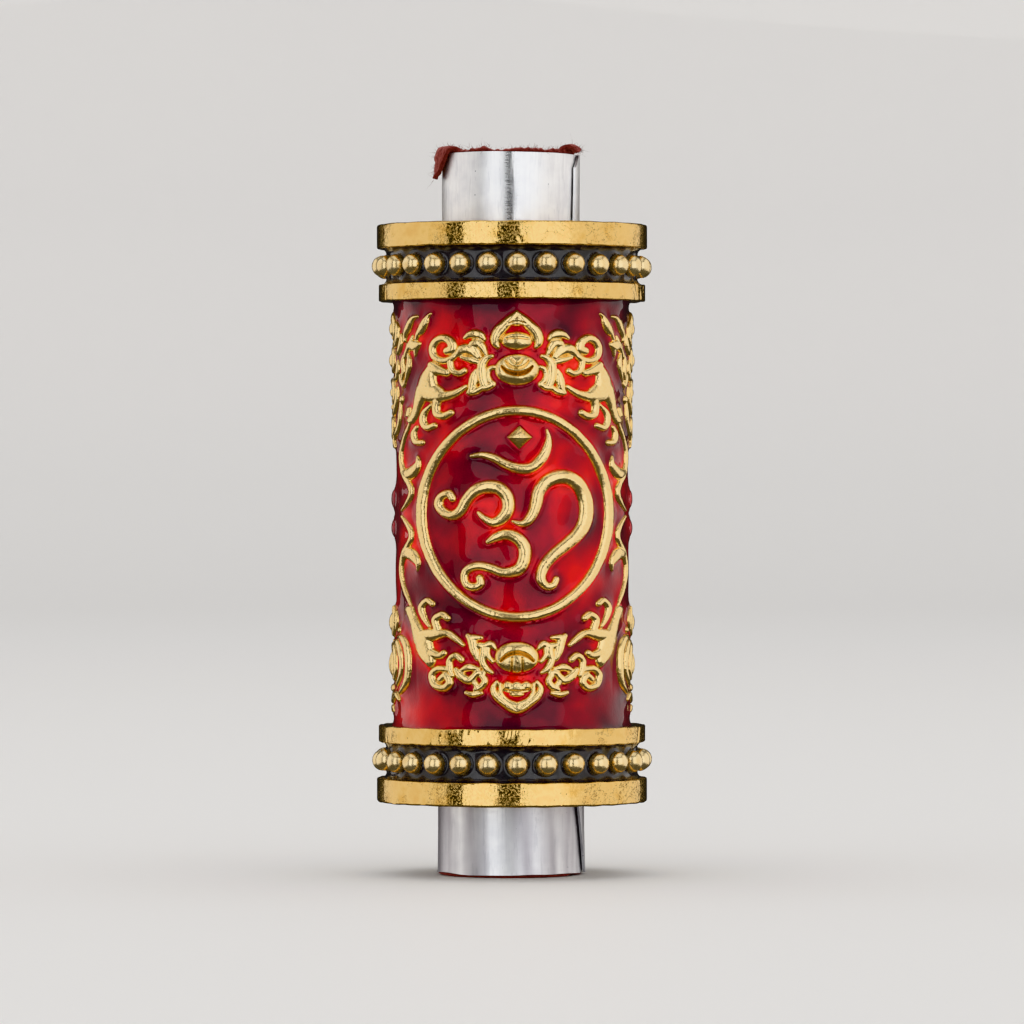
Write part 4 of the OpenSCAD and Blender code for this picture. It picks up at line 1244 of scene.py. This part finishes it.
def cloth_fuzz(angles, r, z, beyond):
    """Loose fibres along the cloth's cut edge and fold, from its middle surface's grids."""
    rng = np.random.default_rng(91)
    vertices, faces = [], []
    tries = 900
    for _ in range(tries):
        column = rng.integers(len(angles))
        near_edge = 3 if rng.random() < 0.6 else 40
        row = len(r) - 1 - rng.integers(near_edge)
        if beyond[row, column] < 0.1:
            continue
        sine, cosine = math.sin(angles[column]), math.cos(angles[column])
        start = np.array([r[row, column] * sine, -r[row, column] * cosine, z[row, column]])
        outward = np.array([sine, -cosine, 0.25])
        heading = outward * rng.uniform(0.3, 1.0) + rng.normal(0, 0.55, 3)
        heading /= np.linalg.norm(heading)
        curl = rng.normal(0, 0.7, 3)
        long = rng.uniform(0.2, 0.55) * (1.5 if rng.random() < 0.06 else 1)
        thick = rng.uniform(0.009, 0.016)
        side = np.cross(heading, [0.3, 0.5, 0.8])
        side /= np.linalg.norm(side)
        other = np.cross(heading, side)
        base = len(vertices) * 12
        points = []
        for k in range(4):
            t = k / 3
            centre = start + heading * (CLOTH_T / 2 + long * t) + curl * (t * t * long * 0.5)
            wide = thick * (1 - 0.75 * t)
            for turn in (0, TURN / 3, 2 * TURN / 3):
                points.append(centre + wide * (math.cos(turn) * side + math.sin(turn) * other))
        vertices.append(points)
        for k in range(3):
            for j in range(3):
                a, b = base + 3 * k + j, base + 3 * k + (j + 1) % 3
                faces.append([a, b, b + 3, a + 3])
    points = np.array(vertices).reshape(-1, 3)
    points[:, 2] = np.maximum(points[:, 2], FLOOR_GAP)
    fibres = mesh_object("cloth_fibres", points, faces)
    return finish_piece(fibres, "scroll", CLOTH, "maroon_cloth")


def binding(name, node):
    """Two-ply thread round the cloth."""
    angles = full_turn(480)
    mid = (low(node).z + high(node).z) / 2
    ring_r = high(node).x - THREAD_R
    section = full_turn(14)
    twist = 46
    thick = THREAD_R * (0.8 + 0.22 * np.abs(np.cos(section[:, None] - angles * twist / 2)))
    r = ring_r + thick * np.cos(section)[:, None]
    z = mid - thick * np.sin(section)[:, None]
    thread = lathe(name, r, z, angles)
    finish_piece(thread, "scroll", SILK, "silk_thread", node)


mantra_roll()
rod()
cloth, cloth_grids = cloth_wrap()
fuzz = cloth_fuzz(*cloth_grids)
binding("upper_thread", "upper_binding_thread")
binding("lower_thread", "lower_binding_thread")


# ---- Bearings and tube, kept as the CAD made them -------------------------

def coat(name, material):
    """Gives a CAD node its material."""
    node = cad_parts[name]
    node.data.materials.clear()
    node.data.materials.append(material)


for end in ("upper", "lower"):
    coat(end + "_journal_collar", BRONZE)
    coat(end + "_bush", BRONZE)
    coat(end + "_thrust_washer", NYLON)
coat("drum_shell", BRASS)


# ---- Studio -------------------------------------------------------------

CAMERA_TURN = -2.4
CAMERA_AWAY = 0.55
CAMERA_HEIGHT = 0.0334
LOOK_AT = 0.0303


def around(azimuth, distance, height):
    """A point at an azimuth in degrees from the camera's side of the object, in metres."""
    a = math.radians(azimuth + CAMERA_TURN)
    return Vector((distance * math.sin(a), -distance * math.cos(a), height))


def studio_camera():
    data = bpy.data.cameras.new("camera")
    camera = bpy.data.objects.new("camera", data)
    bpy.context.scene.collection.objects.link(camera)
    data.sensor_width = 36
    data.lens = 231
    data.clip_start = 0.01
    camera.location = around(0, CAMERA_AWAY, CAMERA_HEIGHT)
    aim = Vector((0, 0, LOOK_AT)) - camera.location
    camera.rotation_mode = "QUATERNION"
    camera.rotation_quaternion = aim.to_track_quat("-Z", "Y")
    bpy.context.scene.camera = camera


def area_light(name, width, height, radiance, place):
    """A soft rectangular light that faces down, and that the camera doesn't see."""
    data = bpy.data.lights.new(name, "AREA")
    data.shape = "RECTANGLE"
    data.size = width
    data.size_y = height
    data.energy = radiance * math.pi * width * height
    light = bpy.data.objects.new(name, data)
    bpy.context.scene.collection.objects.link(light)
    light.location = place
    light.visible_camera = False
    return light


def panel_light(name, from_az, to_az, low_z, distance, radiance, colour):
    """A light panel that faces the object and spans a range of azimuths, as seen from there."""
    high_z = 0.9
    mid = (from_az + to_az) / 2
    width = 2 * distance * math.tan(math.radians((to_az - from_az) / 2))
    light = area_light(name, width, high_z - low_z, radiance, around(mid, distance, (low_z + high_z) / 2))
    light.data.color = colour
    light.rotation_mode = "QUATERNION"
    light.rotation_quaternion = around(mid, -1, 0).to_track_quat("-Z", "Y")
    light.light_linking.receiver_collection = off_floor


def sweep_floor():
    """A pale floor that curves up into a wall all round."""
    profile = [(0.0005, 0), (0.5, 0), (1.1, 0), (1.4, 0.03), (1.62, 0.12), (1.76, 0.28), (1.8, 0.5),
               (1.8, 0.8)]
    columns = 96
    angles = full_turn(columns)
    r, z = np.array(profile).T[:, :, None] / MM
    grid = np.stack([r * np.sin(angles), r * np.cos(angles), z + 0 * angles], -1)
    floor = mesh_object("floor", grid.reshape(-1, 3), grid_faces(len(profile), columns, True))
    s = Shader("pale_floor", Roughness=0.6)
    s.set("Base Color", (0.84, 0.83, 0.82, 1))
    floor.data.materials.append(s.material)
    floor.visible_glossy = False
    floor.visible_shadow = False
    return floor


def everything_but(obj):
    """A light's receivers with one object left out."""
    receivers = bpy.data.collections.new("off_the_floor")
    receivers.objects.link(obj)
    receivers.collection_objects[0].light_linking.link_state = "EXCLUDE"
    return receivers


def studio_air():
    """Even pale light from all round, of which polished metal mirrors only a little."""
    world = bpy.data.worlds.new("studio")
    bpy.context.scene.world = world
    world.use_nodes = True
    air = Nodes(world.node_tree)
    way = air.new("TexCoord").outputs["Generated"]
    steep = air.math("ABSOLUTE", air.new("SeparateXYZ", Vector=way).outputs["Z"])
    mirrored = air.span(steep, 0.15, 0.8, 0.04, 0.1)
    mirror_ray = air.new("LightPath").outputs["Is Glossy Ray"]
    strength = air.new("Mix", Factor=mirror_ray, A=0.9, B=mirrored)
    background = world.node_tree.nodes["Background"]
    background.inputs["Color"].default_value = (1.0, 0.99, 0.98, 1)
    air.link(strength.outputs["Result"], background.inputs["Strength"])


studio_camera()
# The side panels stand on the floor, and would draw a line on it where they meet it.
off_floor = everything_but(sweep_floor())
WARM = (1.0, 0.965, 0.93)
COOL = (0.97, 0.985, 1.0)
panel_light("left_softbox", -140, -57, -0.35, 0.75, 0.8, WARM)
panel_light("left_front_panel", -42, -12, -0.35, 0.9, 1.4, COOL)
panel_light("right_front_panel", 6.5, 50, -0.35, 0.9, 1.3, COOL)
panel_light("right_softbox", 50, 140, -0.35, 0.75, 0.85, WARM)
area_light("overhead", 1.1, 1.1, 0.7, (0, 0, 0.95))
panel_light("back_panel", 160, 200, 0.35, 0.9, 0.4, COOL)

studio_air()
bpy.context.scene.view_settings.view_transform = "Khronos PBR Neutral"
